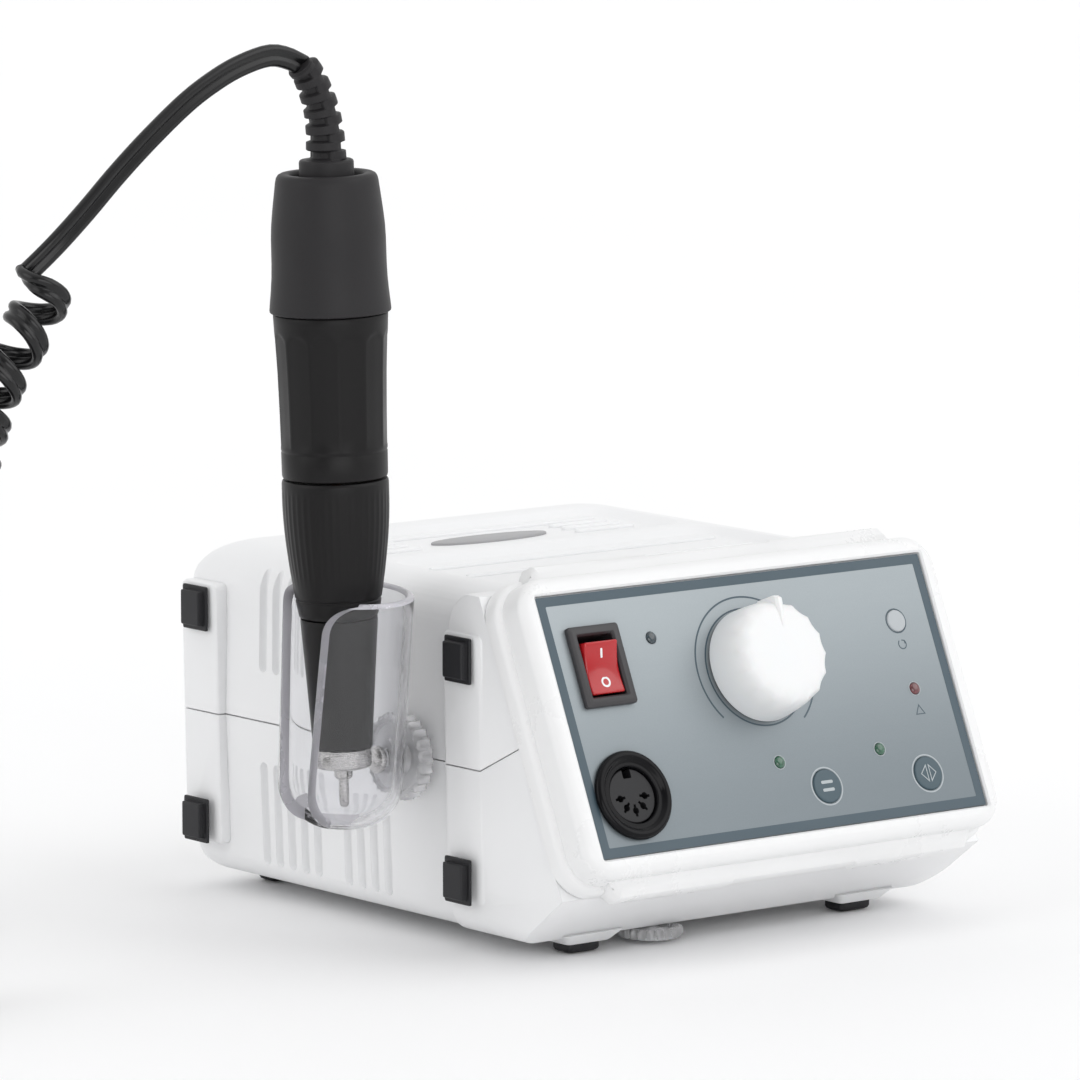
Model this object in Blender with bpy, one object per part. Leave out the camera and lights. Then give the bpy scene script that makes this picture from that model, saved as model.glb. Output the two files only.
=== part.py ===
"""Electric nail drill: a control box with a sloping front panel, a clear rest clamped to its
left side, and a handpiece on a curly cord. Metres, +Z up, the front panel facing -Y."""

import math

import bmesh
import bpy
from mathutils import Matrix, Vector

# ---------------------------------------------------------------- driving dimensions
GAP = 0.0003  # clearance between pieces that touch
WALL = 0.0025  # shell wall

# Front panel, given along its width (u), up its slope (v) and out of its face (w)
PANEL_LEAN = math.radians(24)
LABEL_WIDTH = 0.117
LABEL_HEIGHT = 0.063
LABEL_THICKNESS = 0.0006
LABEL_LOW_EDGE = 0.0278  # height of the label's lower edge above the table
BEZEL_MARGIN = 0.0048  # white face left round the label
BEZEL_FLANGE = 0.0016  # how far the flange behind stands out past the face
BEZEL_DEPTH = 0.012
BEZEL_LIP = 0.0008  # how far the face stands proud of the label
BEZEL_CORNER = 0.008
BAND_RISE = 0.004  # the long bands along the top and bottom edges
BAND_HALF_LENGTH = 0.055

# Case
CASE_HALF_WIDTH = 0.0625
FRONT_HALF_WIDTH = 0.0645
CASE_BACK = 0.160
CASE_FLOOR = 0.004
CASE_TOP = 0.0855
PARTING_HEIGHT = 0.0438
BELLY_TOP = (0.0085, 0.0170)  # (y, z) where the belly under the panel begins
BELLY_SLOPE = 1.44
RAIL_PROUD = 0.003  # the rails' face out from the case side
RAIL_WIDTH = 0.0148
RAIL_BOTTOM = 0.0116
RAIL_TOP = 0.0756
FRONT_RAIL = 0.0448  # centre of each rail along the side
REAR_RAIL_INSET = 0.0114  # centre of the rear rails, in from the back
BUMPER_SIZE = 0.0108
BUMPER_THICKNESS = 0.0018
BUMPER_LOW = 0.0173
BUMPER_HIGH = 0.0694
GROOVE_PITCH = 0.0052
GROOVE_WIDTH = 0.0024
GROOVE_DEPTH = 0.0011
GROOVE_INSET = 0.0338  # first groove, in from the back
REAR_TRAY_INSET = 0.0250
REAR_TRAY_LENGTH = 0.0310
CROSS_BAND = 0.0120
FRONT_TRAY = 0.0470
TRAY_DEPTH = 0.0018
FOOT_HALF_SPREAD = 0.0417
FOOT_FRONT = 0.0312
FOOT_REAR_INSET = 0.0130
FOOT_LENGTH = 0.0095
FOOT_WIDTH = 0.0068
FOOT_HEIGHT = 0.0022

# Controls, at (u, v) on the panel
SWITCH_PLACE = (-0.0452, 0.0136)
SWITCH_WIDTH = 0.0150
SWITCH_HEIGHT = 0.0195
SWITCH_RIM = 0.0014
ROCKER_TILT = math.radians(9)
SOCKET_PLACE = (-0.0458, -0.0176)
SOCKET_RADIUS = 0.0107
SOCKET_INSERT_RADIUS = 0.0065
KNOB_PLACE = (0.0, 0.0090)
KNOB_RADIUS = 0.0134
KNOB_HEIGHT = 0.0135
KNOB_SCALLOPS = 16
KNOB_TURN = math.radians(7)  # clockwise from straight up, as it is left
SHAFT_RADIUS = 0.003
POT_RADIUS = 0.008
TRANSFORMER_INSET = 0.052  # its middle, in from the back
LAMP_RADIUS = 0.00145
LAMP_PLACES = {
    "power_lamp": (-0.0280, 0.0189),
    "mode_lamp": (-0.0002, -0.0145),
    "direction_lamp": (0.0307, -0.0146),
    "overload_lamp": (0.0463, -0.0012),
}
BUTTON_PROUD = 0.0004
BUTTON_PLACES = {
    "mode_button": (0.0119, -0.0217, 0.0041),
    "direction_button": (0.0432, -0.0220, 0.0041),
    "reset_button": (0.0462, 0.0157, 0.0027),
}

# Handpiece rest: a slotted clear cup that swivels on a stud held in the parting line
PIVOT_Y = 0.0662
CUP_STANDOFF = 0.00615  # from the case side to the cup's wall
CUP_TILT = math.radians(4.5)
NOSE_SHIFT = (-0.0003, -0.0012)  # from the cup's axis to the handpiece's nose
CUP_WALL = 0.0023
CUP_MOUTH = 0.013249  # inside radius at the rim
CUP_FOOT_BORE = 0.0123
RIM_SHARE = 0.87  # thickness of the rim beside the wall's
CUP_ABOVE = 0.0413  # rim above the pivot
CUP_DEPTH = 0.0120  # from the pivot down to the cup's floor
SLOT_TOP = 0.0150
SLOT_FOOT = 0.0110
STUD_RADIUS = 0.002
WHEEL_RADIUS = 0.0104
WHEEL_THICKNESS = 0.0040
WHEEL_KNURLS = 24
LOW_WHEEL_PLACE = (-0.0197, 0.0308)
LOW_WHEEL_RADIUS = 0.0078

# Handpiece, along its own axis from the nose ring's end up
HANDPIECE_LEAN = math.radians(1.73)
NOSE_HEIGHT = 0.0436
BIT_RADIUS = 0.001175
BIT_REACH = 0.0102
NOSE_RING_TOP = 0.0045
NOSE_TOP = 0.0353
TWIST_TOP = 0.0680
GRIP_TOP = 0.1066
CAP_TOP = 0.1391
COLLAR_TOP = 0.1422
COLLAR_RADIUS = 0.00635
NOSE_TIP_RADIUS = 0.00695
NOSE_BORE = 0.0063
TWIST_RADIUS = 0.01245
GRIP_RADIUS = 0.0134
CAP_RADIUS = 0.0141
MOTOR_RADIUS = 0.0101
MOTOR_WALL = 0.0009
ROTOR_CLEARANCE = 0.0016
SPINDLE_RADIUS = 0.0033
COLLET_RADIUS = 0.00215

# The boot's bend, as (out from the nose, height)
BOOT_ROUTE = (
    (0.0047, 0.1925), (0.0056, 0.1972), (0.0073, 0.2017), (0.0096, 0.2060), (0.0108, 0.2076),
)

# Cord
LEAD_WIDTH = 0.0052
CURL_RADIUS = 0.0066
LEAD_STEP = 0.0070
CURL_STEP = 0.0150
COIL_STEP = 0.0090
# Route of the lead, from the boot's tip to the first curl
LEAD_ROUTE = [
    (-0.0950, 0.0650, 0.2076), (-0.0998, 0.0650, 0.2097), (-0.1050, 0.0650, 0.2105),
    (-0.1116, 0.0650, 0.2096), (-0.1181, 0.0650, 0.2072), (-0.1259, 0.0651, 0.2030),
    (-0.1344, 0.0652, 0.1976), (-0.1428, 0.0654, 0.1915), (-0.1512, 0.0656, 0.1839),
    (-0.1588, 0.0658, 0.1763), (-0.1645, 0.0660, 0.1700),
]
# Axis of the curl as it hangs, from the lead's end to just above the table
HANGING_ROUTE = [
    (-0.1648, 0.0660, 0.1697), (-0.1690, 0.0660, 0.1600), (-0.1738, 0.0660, 0.1505),
    (-0.1795, 0.0660, 0.1400), (-0.1850, 0.0660, 0.1270), (-0.1895, 0.0660, 0.1110),
    (-0.1925, 0.0660, 0.0930), (-0.1940, 0.0660, 0.0750), (-0.1946, 0.0660, 0.0570),
    (-0.1950, 0.0660, 0.0420), (-0.1953, 0.0660, 0.0285),
]
# Axis of the curl from there down onto the table and round
TABLE_ROUTE = [
    (-0.1953, 0.0660, 0.0266), (-0.1957, 0.0660, 0.0200), (-0.2000, 0.0675, 0.0120),
    (-0.2080, 0.0712, 0.0078), (-0.2165, 0.0775, 0.0069), (-0.2230, 0.0862, 0.0069),
    (-0.2262, 0.0968, 0.0069), (-0.2255, 0.1080, 0.0069), (-0.2208, 0.1182, 0.0069),
    (-0.2128, 0.1260, 0.0069), (-0.2025, 0.1304, 0.0069), (-0.1915, 0.1310, 0.0069),
]
# The straight end from the curl to the plug
TAIL_ROUTE = [
    (-0.1906, 0.1310, 0.0069), (-0.1850, 0.1303, 0.0050), (-0.1785, 0.1290, 0.0033),
    (-0.1715, 0.1285, 0.0029), (-0.1645, 0.1295, 0.0029), (-0.1580, 0.1325, 0.0032),
    (-0.1536, 0.1376, 0.0046), (-0.1515, 0.1440, 0.0064), (-0.1512, 0.1500, 0.0070),
]
PLUG_GRIP_LENGTH = 0.020
PLUG_GRIP_RADIUS = 0.0063
PLUG_SHELL_LENGTH = 0.0115
PLUG_SHELL_RADIUS = 0.0066

WHITE = (0.86, 0.87, 0.88)
BLACK = (0.025, 0.025, 0.028)
CLEAR = (0.80, 0.82, 0.86)
STEEL = (0.62, 0.62, 0.63)

PANEL_CENTRE = Vector((
    0.0,
    LABEL_HEIGHT / 2 * math.sin(PANEL_LEAN),
    LABEL_LOW_EDGE + LABEL_HEIGHT / 2 * math.cos(PANEL_LEAN),
))
REAR_RAIL = CASE_BACK - REAR_RAIL_INSET
FOOT_REAR = CASE_BACK - FOOT_REAR_INSET
CUP_RADIUS = CUP_MOUTH + CUP_WALL * RIM_SHARE
CUP_FOOT_RADIUS = CUP_FOOT_BORE + CUP_WALL
CUP_BELOW = CUP_DEPTH + CUP_WALL
CUP_OFFSET = CUP_STANDOFF + CUP_RADIUS
CUP_X = -(CASE_HALF_WIDTH + CUP_OFFSET)
HANDPIECE_PLACE = (CUP_X + NOSE_SHIFT[0], PIVOT_Y + NOSE_SHIFT[1])
PIVOT = Vector((CUP_X, PIVOT_Y, PARTING_HEIGHT))
SIDES = {"left": -1, "right": 1}


# ---------------------------------------------------------------- shape helpers
def plastic(name, color, roughness=0.4, metallic=0.0, alpha=1.0):
    """A Principled material, made once and found again by its name."""
    found = bpy.data.materials.get(name)
    if found:
        return found
    made = bpy.data.materials.new(name)
    made.use_nodes = True
    shader = made.node_tree.nodes["Principled BSDF"]
    shader.inputs["Base Color"].default_value = (*color, 1)
    shader.inputs["Roughness"].default_value = roughness
    shader.inputs["Metallic"].default_value = metallic
    shader.inputs["Alpha"].default_value = alpha
    return made


def arc(centre, radius, start, end, steps):
    """Points along an arc, with the angles in degrees."""
    return [
        (
            centre[0] + radius * math.cos(math.radians(start + (end - start) * i / steps)),
            centre[1] + radius * math.sin(math.radians(start + (end - start) * i / steps)),
        )
        for i in range(steps + 1)
    ]


def rounded(x0, x1, y0, y1, radius, steps=3):
    """A rectangle with round corners, anticlockwise."""
    corners = [
        (x1 - radius, y1 - radius, 0), (x0 + radius, y1 - radius, 90),
        (x0 + radius, y0 + radius, 180), (x1 - radius, y0 + radius, 270),
    ]
    points = []
    for x, y, start in corners:
        points += arc((x, y), radius, start, start + 90, steps)
    return points


def circle(radius, steps, centre=(0, 0)):
    return arc(centre, radius, 0, 360 - 360 / steps, steps - 1)


def loft(bm, rings):
    """Skins rings of equal length, closes both ends, and returns the new vertices."""
    rows = [[bm.verts.new(point) for point in ring] for ring in rings]
    count = len(rows[0])
    for low, high in zip(rows, rows[1:]):
        for i in range(count):
            j = (i + 1) % count
            bm.faces.new((low[i], low[j], high[j], high[i]))
    bm.faces.new(reversed(rows[0]))
    bm.faces.new(rows[-1])
    return [vert for row in rows for vert in row]


def prism(bm, outline, low, high):
    """An outline in local X and Y, run from one height to another."""
    return loft(bm, [[(x, y, z) for x, y in outline] for z in (low, high)])


def block(bm, x0, x1, y0, y1, z0, z1):
    return prism(bm, [(x0, y0), (x1, y0), (x1, y1), (x0, y1)], z0, z1)


def turned(bm, profile, steps):
    """Turns a closed (radius, height) profile round local Z. A radius of 0 is on the axis."""
    made = []
    rows = []
    for radius, height in profile:
        if radius == 0:
            row = [bm.verts.new((0, 0, height))] * steps
            made.append(row[0])
        else:
            row = [bm.verts.new((x, y, height)) for x, y in circle(radius, steps)]
            made += row
        rows.append(row)
    for k, low in enumerate(rows):
        high = rows[(k + 1) % len(rows)]
        if profile[k][0] == 0 and profile[(k + 1) % len(rows)][0] == 0:
            continue
        for i in range(steps):
            j = (i + 1) % steps
            face = list(dict.fromkeys((low[i], low[j], high[j], high[i])))
            bm.faces.new(face)
    return made


def move(verts, matrix):
    for vert in set(verts):
        vert.co = matrix @ vert.co


def along_x(x, y, z):
    """Turns local Z onto +X and moves the piece to a point."""
    return Matrix.Translation((x, y, z)) @ Matrix.Rotation(math.radians(90), 4, "Y")


def along_y(x, y, z):
    """Turns local Z onto +Y and moves the piece to a point."""
    return Matrix.Translation((x, y, z)) @ Matrix.Rotation(math.radians(-90), 4, "X")


def empty(name, parent=None, location=(0, 0, 0), rotation=(0, 0, 0)):
    made = bpy.data.objects.new(name, None)
    made.empty_display_size = 0.01
    made.parent = parent
    made.location = location
    made.rotation_euler = rotation
    bpy.context.scene.collection.objects.link(made)
    return made


def finish(name, bm, surface, parent, location=(0, 0, 0), rotation=(0, 0, 0)):
    """Makes the named object from a mesh, shaded smooth between faces under 35 degrees."""
    bmesh.ops.recalc_face_normals(bm, faces=bm.faces)
    mesh = bpy.data.meshes.new(name)
    bm.to_mesh(mesh)
    bm.free()
    mesh.shade_smooth()
    mesh.set_sharp_from_angle(angle=math.radians(35))
    made = bpy.data.objects.new(name, mesh)
    made.parent = parent
    made.location = location
    made.rotation_euler = rotation
    bpy.context.scene.collection.objects.link(made)
    mesh.materials.append(surface)
    return made


def helper(name, bm, parent, location=(0, 0, 0), rotation=(0, 0, 0)):
    """A cutter or a piece to unite: it isn't part of the object."""
    made = finish(name, bm, plastic("guide", (1, 0, 1)), parent, location, rotation)
    made.hide_render = True
    made.display_type = "WIRE"
    return made


def combine(target, other, operation):
    modifier = target.modifiers.new(operation.lower() + "_" + other.name, "BOOLEAN")
    modifier.object = other
    modifier.operation = operation
    modifier.solver = "EXACT"


def smooth_route(points, step):
    """Evenly spaced points on a smooth curve through the route's own points."""
    nodes = [Vector(point) for point in points]
    nodes = [2 * nodes[0] - nodes[1], *nodes, 2 * nodes[-1] - nodes[-2]]
    fine = []
    for a, b, c, d in zip(nodes, nodes[1:], nodes[2:], nodes[3:]):
        for k in range(12):
            t = k / 12
            fine.append(0.5 * (
                2 * b + (c - a) * t + (2 * a - 5 * b + 4 * c - d) * t * t
                + (3 * b - a - 3 * c + d) * t * t * t
            ))
    fine.append(nodes[-2])
    lengths = [0.0]
    for a, b in zip(fine, fine[1:]):
        lengths.append(lengths[-1] + (b - a).length)
    count = max(2, round(lengths[-1] / step))
    places = []
    index = 0
    for k in range(count + 1):
        want = lengths[-1] * k / count
        while index < len(fine) - 2 and lengths[index + 1] < want:
            index += 1
        share = (want - lengths[index]) / (lengths[index + 1] - lengths[index])
        places.append(fine[index].lerp(fine[index + 1], share))
    return places


def tube(name, route, radius, resolution, step, surface, parent, trim=(0, 0)):
    """A plain round cord along a route, with its ends trimmed back and capped."""
    places = smooth_route(route, step)
    places[0] += (places[1] - places[0]).normalized() * trim[0]
    places[-1] += (places[-2] - places[-1]).normalized() * trim[1]
    curve = bpy.data.curves.new(name, "CURVE")
    curve.dimensions = "3D"
    curve.bevel_depth = radius
    curve.bevel_resolution = resolution
    curve.use_fill_caps = True
    curve.resolution_u = 1
    line = curve.splines.new("POLY")
    line.points.add(len(places) - 1)
    for point, place in zip(line.points, places):
        point.co = (*place, 1)
    made = bpy.data.objects.new(name, curve)
    made.parent = parent
    bpy.context.scene.collection.objects.link(made)
    curve.materials.append(surface)
    return made


# ---------------------------------------------------------------- case
def panel_plane(z, depth):
    """Y of the plane that lies this deep behind the label's face, at height z."""
    rise = (z - PANEL_CENTRE.z) * math.sin(PANEL_LEAN)
    return PANEL_CENTRE.y + (depth + rise) / math.cos(PANEL_LEAN)


def front_edge(z, depth, inset=0.0):
    """Y of the case's front: the sloping belly low down, then the back of the panel."""
    belly = BELLY_TOP[0] + (BELLY_TOP[1] - z) * BELLY_SLOPE + inset * 1.75
    return max(panel_plane(z, depth), belly)


def case_rings(half_width, inset, depth, back, low, top):
    """Horizontal sections of the case: widest at the parting line, rounded at floor and top."""
    floor_radius = 0.0060
    shoulder = 0.0105
    shoulder_rear = 0.0170
    levels = [(low + floor_radius * (1 - math.cos(math.radians(a))),
               floor_radius * (1 - math.sin(math.radians(a))), 0) for a in (0, 30, 60, 90)]
    levels += [(0.0170, 0, 0), (0.0216, 0, 0), (PARTING_HEIGHT, 0, 0)]
    levels += [(top - shoulder + shoulder * math.sin(math.radians(a)),
                0, 1 - math.cos(math.radians(a))) for a in (0, 25, 50, 72, 90)]
    rings = []
    for z, foot_inset, top_share in levels:
        draft = max(0, PARTING_HEIGHT - z) * 0.040 + max(0, z - PARTING_HEIGHT) * 0.018
        side = half_width - inset - draft - foot_inset - shoulder * top_share
        rear = back - inset - draft - foot_inset - shoulder_rear * top_share
        front = front_edge(z, depth, inset)
        rings.append([(x, y, z) for x, y in rounded(-side, side, front, rear, 0.0055, 3)])
    return rings


def front_rings():
    """Sections of the wider front part, whose upper edge arches up to the bezel."""
    depth = BEZEL_DEPTH + GAP
    rear_low = FRONT_RAIL + RAIL_WIDTH / 2 - 0.001
    foot = 0.0055
    levels = [(CASE_FLOOR + 0.0002 + foot * (1 - math.cos(math.radians(a))),
               foot * (1 - math.sin(math.radians(a))), rear_low) for a in (0, 30, 60, 90)]
    levels += [(0.0172, 0, rear_low), (PARTING_HEIGHT, 0, rear_low), (RAIL_TOP, 0, rear_low)]
    levels += [(RAIL_TOP + 0.0095 * math.sin(math.radians(a)), 0,
                rear_low - 0.0095 * (1 - math.cos(math.radians(a)))) for a in (25, 50, 75)]
    rings = []
    for z, foot_inset, rear in levels:
        side = FRONT_HALF_WIDTH - max(0, PARTING_HEIGHT - z) * 0.03 - foot_inset
        front = front_edge(z, depth, -0.0001)
        rear = max(rear, front + 0.002)
        rings.append([
            (x, y, z) for x, y in ((-side, front), (side, front), (side, rear), (-side, rear))
        ])
    return rings


def parting_outline(gap):
    """Side view of the parting line, with the height given at the lower edge of the gap."""
    z = PARTING_HEIGHT + gap
    front_low = 0.0385
    front_high = 0.0200
    rise = 0.0090
    return [(CASE_BACK + 0.02, z), (front_low, z), (front_high, z + rise), (-0.05, z + rise)]


def half_space(name, upper, parent):
    """A block with the parting line as its lower or upper edge."""
    edge = parting_outline(GAP / 2 if upper else -GAP / 2)
    far = 0.20 if upper else -0.05
    outline = [*edge, (-0.05, far), (CASE_BACK + 0.02, far)]
    bm = bmesh.new()
    loft(bm, [[(x, y, z) for y, z in outline] for x in (-0.12, 0.12)])
    return helper(name, bm, parent)


def rails(name, parent):
    """The four upright rails that carry the side bumpers, as one helper of separate bodies."""
    bm = bmesh.new()
    for side in SIDES.values():
        for centre in (FRONT_RAIL, REAR_RAIL):
            inner = side * (CASE_HALF_WIDTH - WALL)
            edge = side * (CASE_HALF_WIDTH + RAIL_PROUD)
            rings = []
            for z, out in (
                (RAIL_BOTTOM, -0.0018), (PARTING_HEIGHT, 0), (RAIL_TOP, -0.0004),
            ):
                outer = edge + side * out
                y0 = centre - RAIL_WIDTH / 2
                y1 = centre + RAIL_WIDTH / 2
                rings.append([(inner, y0, z), (outer, y0, z), (outer, y1, z), (inner, y1, z)])
            loft(bm, rings)
    return helper(name, bm, parent)


def vent_rows():
    """(y, lowest z, highest z) of each upright groove in one side."""
    first = CASE_BACK - GROOVE_INSET
    rows = []
    for k in range(5):
        y = first - k * GROOVE_PITCH
        rows.append((y, 0.0562, 0.0832 - 0.0004 * k))
        rows.append((y, 0.0090, 0.0335))
    for k in range(4):
        rows.append((first - (k + 6.3) * GROOVE_PITCH, 0.0085, 0.0300))
    return rows


def vents(name, parent):
    """Cutter for the grooves in both sides: narrow blind slots with round ends."""
    bm = bmesh.new()
    half = GROOVE_WIDTH / 2
    for side in SIDES.values():
        for y, low, high in vent_rows():
            outline = arc((y, high - half), half, 0, 180, 3) + arc((y, low + half), half, 180, 360, 3)
            lean = 0.022 if high > PARTING_HEIGHT else -0.040
            rings = []
            for out in (-GROOVE_DEPTH, 0.010):
                ring = []
                for point_y, point_z in outline:
                    face = CASE_HALF_WIDTH - (point_z - PARTING_HEIGHT) * lean + out
                    ring.append((side * face, point_y, point_z))
                rings.append(ring)
            loft(bm, rings)
    return helper(name, bm, parent)


def shell_cavity(name, parent):
    """The hollow inside both shells, open at the front behind the bezel."""
    bm = bmesh.new()
    loft(bm, case_rings(
        CASE_HALF_WIDTH, WALL, BEZEL_DEPTH - 0.004, CASE_BACK,
        CASE_FLOOR + WALL, CASE_TOP - WALL - TRAY_DEPTH,
    ))
    return helper(name, bm, parent)


def stud_hole(name, parent):
    bm = bmesh.new()
    verts = prism(bm, circle(STUD_RADIUS + GAP, 16), -0.012, 0.012)
    move(verts, along_x(-CASE_HALF_WIDTH, PIVOT_Y, PARTING_HEIGHT))
    return helper(name, bm, parent)


def trays():
    """(front, rear) of the two trays in the top, with the raised cross band between them."""
    rear = CASE_BACK - REAR_TRAY_INSET
    front = rear - REAR_TRAY_LENGTH
    return (FRONT_TRAY, front - CROSS_BAND), (front, rear)


def top_pockets(name, parent):
    """Two shallow trays in the top, either side of the raised cross band."""
    bm = bmesh.new()
    floor = CASE_TOP - TRAY_DEPTH
    for y0, y1 in trays():
        rings = []
        for z, spread in ((floor, 0), (CASE_TOP + 0.001, 0.0035)):
            outline = rounded(-0.047 - spread, 0.047 + spread, y0 - spread, y1 + spread, 0.005, 3)
            rings.append([(x, y, z) for x, y in outline])
        loft(bm, rings)
    return helper(name, bm, parent)


def top_ribs(name, parent):
    """Fine raised ribs on the tray floors; three of the rear ones stop short of a blank oval."""
    bm = bmesh.new()
    floor = CASE_TOP - TRAY_DEPTH
    (_, middle), (_, rear) = trays()
    last = rear - 0.0058
    runs = [(last, ((-0.042, 0.042),), 0.0011)]
    for k in (1, 2, 3):
        runs.append((last - k * GROOVE_PITCH, ((-0.042, -0.024), (0.024, 0.042)), 0.0011))
    runs += [(middle - back, ((-0.044, 0.044),), 0.0006) for back in (0.0078, 0.0220)]
    for y, spans, half in runs:
        for x0, x1 in spans:
            block(bm, x0, x1, y - half, y + half, floor - 0.0010, floor + 0.0008)
    return helper(name, bm, parent)


def rear_openings(name, parent):
    """Holes through the lower shell's back for the inlet, the fuse holder and the pedal jack."""
    bm = bmesh.new()
    for x, half_x, half_z in REAR_FITTINGS.values():
        outline = rounded(
            x - half_x - GAP, x + half_x + GAP,
            REAR_FITTING_HEIGHT - half_z - GAP, REAR_FITTING_HEIGHT + half_z + GAP,
            half_x * 0.98 if half_x == half_z else 0.0002, 3,
        )
        loft(bm, [[(u, y, v) for u, v in outline] for y in (CASE_BACK - 0.012, CASE_BACK + 0.01)])
    return helper(name, bm, parent)


REAR_FITTING_HEIGHT = 0.0265
REAR_FITTINGS = {
    "mains_inlet": (0.034, 0.0135, 0.0090),
    "fuse_holder": (0.000, 0.0058, 0.0058),
    "pedal_jack": (-0.034, 0.0060, 0.0060),
}


def pedestals(name, parent):
    """Four raised pads under the floor that the rubber feet are set into."""
    bm = bmesh.new()
    low = FOOT_HEIGHT + GAP
    for x in (-FOOT_HALF_SPREAD, FOOT_HALF_SPREAD):
        for y in (FOOT_FRONT, FOOT_REAR):
            rings = []
            for z, spread in ((low, 0.0015), (CASE_FLOOR + 0.0012, 0.0040)):
                half_x = FOOT_LENGTH / 2 + spread
                half_y = FOOT_WIDTH / 2 + spread
                rings.append([
                    (x - half_x, y - half_y, z), (x + half_x, y - half_y, z),
                    (x + half_x, y + half_y, z), (x - half_x, y + half_y, z),
                ])
            loft(bm, rings)
    return helper(name, bm, parent)


def low_wheel_hole(name, parent):
    bm = bmesh.new()
    verts = prism(bm, circle(STUD_RADIUS + GAP, 12), -0.01, 0.02)
    move(verts, Matrix.Translation((*LOW_WHEEL_PLACE, CASE_FLOOR)))
    return helper(name, bm, parent)


def shell(name, upper, parent):
    """One half of the case, cut from the whole at the parting line."""
    white = plastic("white_abs", WHITE, 0.42)
    bm = bmesh.new()
    loft(bm, case_rings(
        CASE_HALF_WIDTH, 0, BEZEL_DEPTH + GAP + 0.0002, CASE_BACK, CASE_FLOOR, CASE_TOP,
    ))
    made = finish(name, bm, white, parent)
    bm = bmesh.new()
    loft(bm, front_rings())
    combine(made, helper(name + "_front", bm, parent), "UNION")
    combine(made, rails(name + "_rails", parent), "UNION")
    if not upper:
        combine(made, pedestals(name + "_pedestals", parent), "UNION")
    combine(made, shell_cavity(name + "_cavity", parent), "DIFFERENCE")
    combine(made, vents(name + "_vents", parent), "DIFFERENCE")
    combine(made, stud_hole(name + "_stud_hole", parent), "DIFFERENCE")
    if upper:
        combine(made, top_pockets(name + "_pockets", parent), "DIFFERENCE")
        combine(made, top_ribs(name + "_ribs", parent), "UNION")
    else:
        combine(made, rear_openings(name + "_openings", parent), "DIFFERENCE")
        combine(made, low_wheel_hole(name + "_wheel_hole", parent), "DIFFERENCE")
    combine(made, half_space(name + "_half", upper, parent), "INTERSECT")
    return made


def feet(parent):
    rubber = plastic("black_rubber", BLACK, 0.7)
    for end, y in (("front", FOOT_FRONT), ("rear", FOOT_REAR)):
        for side, sign in SIDES.items():
            bm = bmesh.new()
            rings = []
            for z, spread in ((0, -0.0007), (0.0007, 0), (FOOT_HEIGHT, 0)):
                outline = rounded(
                    -FOOT_LENGTH / 2 - spread, FOOT_LENGTH / 2 + spread,
                    -FOOT_WIDTH / 2 - spread, FOOT_WIDTH / 2 + spread, 0.0012, 2,
                )
                rings.append([(u, v, z) for u, v in outline])
            loft(bm, rings)
            finish(f"foot_{end}_{side}", bm, rubber, parent, (sign * FOOT_HALF_SPREAD, y, 0))


def bumpers(parent):
    """Two-step rubber pads on the rails, four to a side."""
    rubber = plastic("black_rubber", BLACK, 0.7)
    half = BUMPER_SIZE / 2
    for side, sign in SIDES.items():
        for end, y in (("front", FRONT_RAIL), ("rear", REAR_RAIL)):
            for level, z in (("lower", BUMPER_LOW), ("upper", BUMPER_HIGH)):
                bm = bmesh.new()
                block(bm, -half, half, -half, half, 0, BUMPER_THICKNESS * 0.4)
                made = finish(
                    f"bumper_{side}_{end}_{level}", bm, rubber, parent,
                    (sign * (CASE_HALF_WIDTH + RAIL_PROUD + GAP), y, z),
                    (0, sign * math.radians(90), 0),
                )
                bm = bmesh.new()
                block(bm, -half * 0.84, half * 0.84, -half * 0.84, half * 0.84,
                      BUMPER_THICKNESS * 0.2, BUMPER_THICKNESS)
                pad = helper(f"pad_{side}_{end}_{level}", bm, made)
                combine(made, pad, "UNION")


# ---------------------------------------------------------------- front panel
def control_holes(bm, low, high, clearance):
    """The holes that the label and the panel behind it share."""
    u, v = SWITCH_PLACE
    half_w = SWITCH_WIDTH / 2 - SWITCH_RIM + clearance
    half_h = SWITCH_HEIGHT / 2 - SWITCH_RIM + clearance
    block(bm, u - half_w, u + half_w, v - half_h, v + half_h, low, high)
    round_holes = [(*SOCKET_PLACE, SOCKET_INSERT_RADIUS + 0.0012, 24)]
    round_holes.append((*KNOB_PLACE, SHAFT_RADIUS + 0.0006, 16))
    round_holes += [(*place, LAMP_RADIUS, 12) for place in LAMP_PLACES.values()]
    round_holes += [(x, y, radius, 20) for x, y, radius in BUTTON_PLACES.values()]
    for x, y, radius, steps in round_holes:
        prism(bm, circle(radius + clearance, steps, (x, y)), low, high)


def bezel_band(bm, sign):
    """The long raised band on one edge; its middle third is a shade lower."""
    inner = LABEL_HEIGHT / 2 + BEZEL_MARGIN - 0.003
    face = LABEL_HEIGHT / 2 + BEZEL_MARGIN
    rings = []
    for u, share, drop in (
        (-BAND_HALF_LENGTH, 0.15, 0), (-BAND_HALF_LENGTH + 0.0025, 1, 0),
        (-0.0192, 1, 0), (-0.0188, 1, 0.0004), (0.0188, 1, 0.0004), (0.0192, 1, 0),
        (BAND_HALF_LENGTH - 0.0025, 1, 0), (BAND_HALF_LENGTH, 0.15, 0),
    ):
        top = face + (BAND_RISE - drop) * share
        lip = face + BAND_RISE * 0.55 * share
        front = -0.0016 - 0.0012 * (1 - share) - drop
        outline = [
            (inner, front), (lip, front - 0.0022), (top, -0.0055),
            (top, -0.0098), (lip, -BEZEL_DEPTH + 0.0006), (inner, -BEZEL_DEPTH + 0.0006),
        ]
        rings.append([(u, sign * v, w) for v, w in outline])
    loft(bm, rings)


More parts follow.
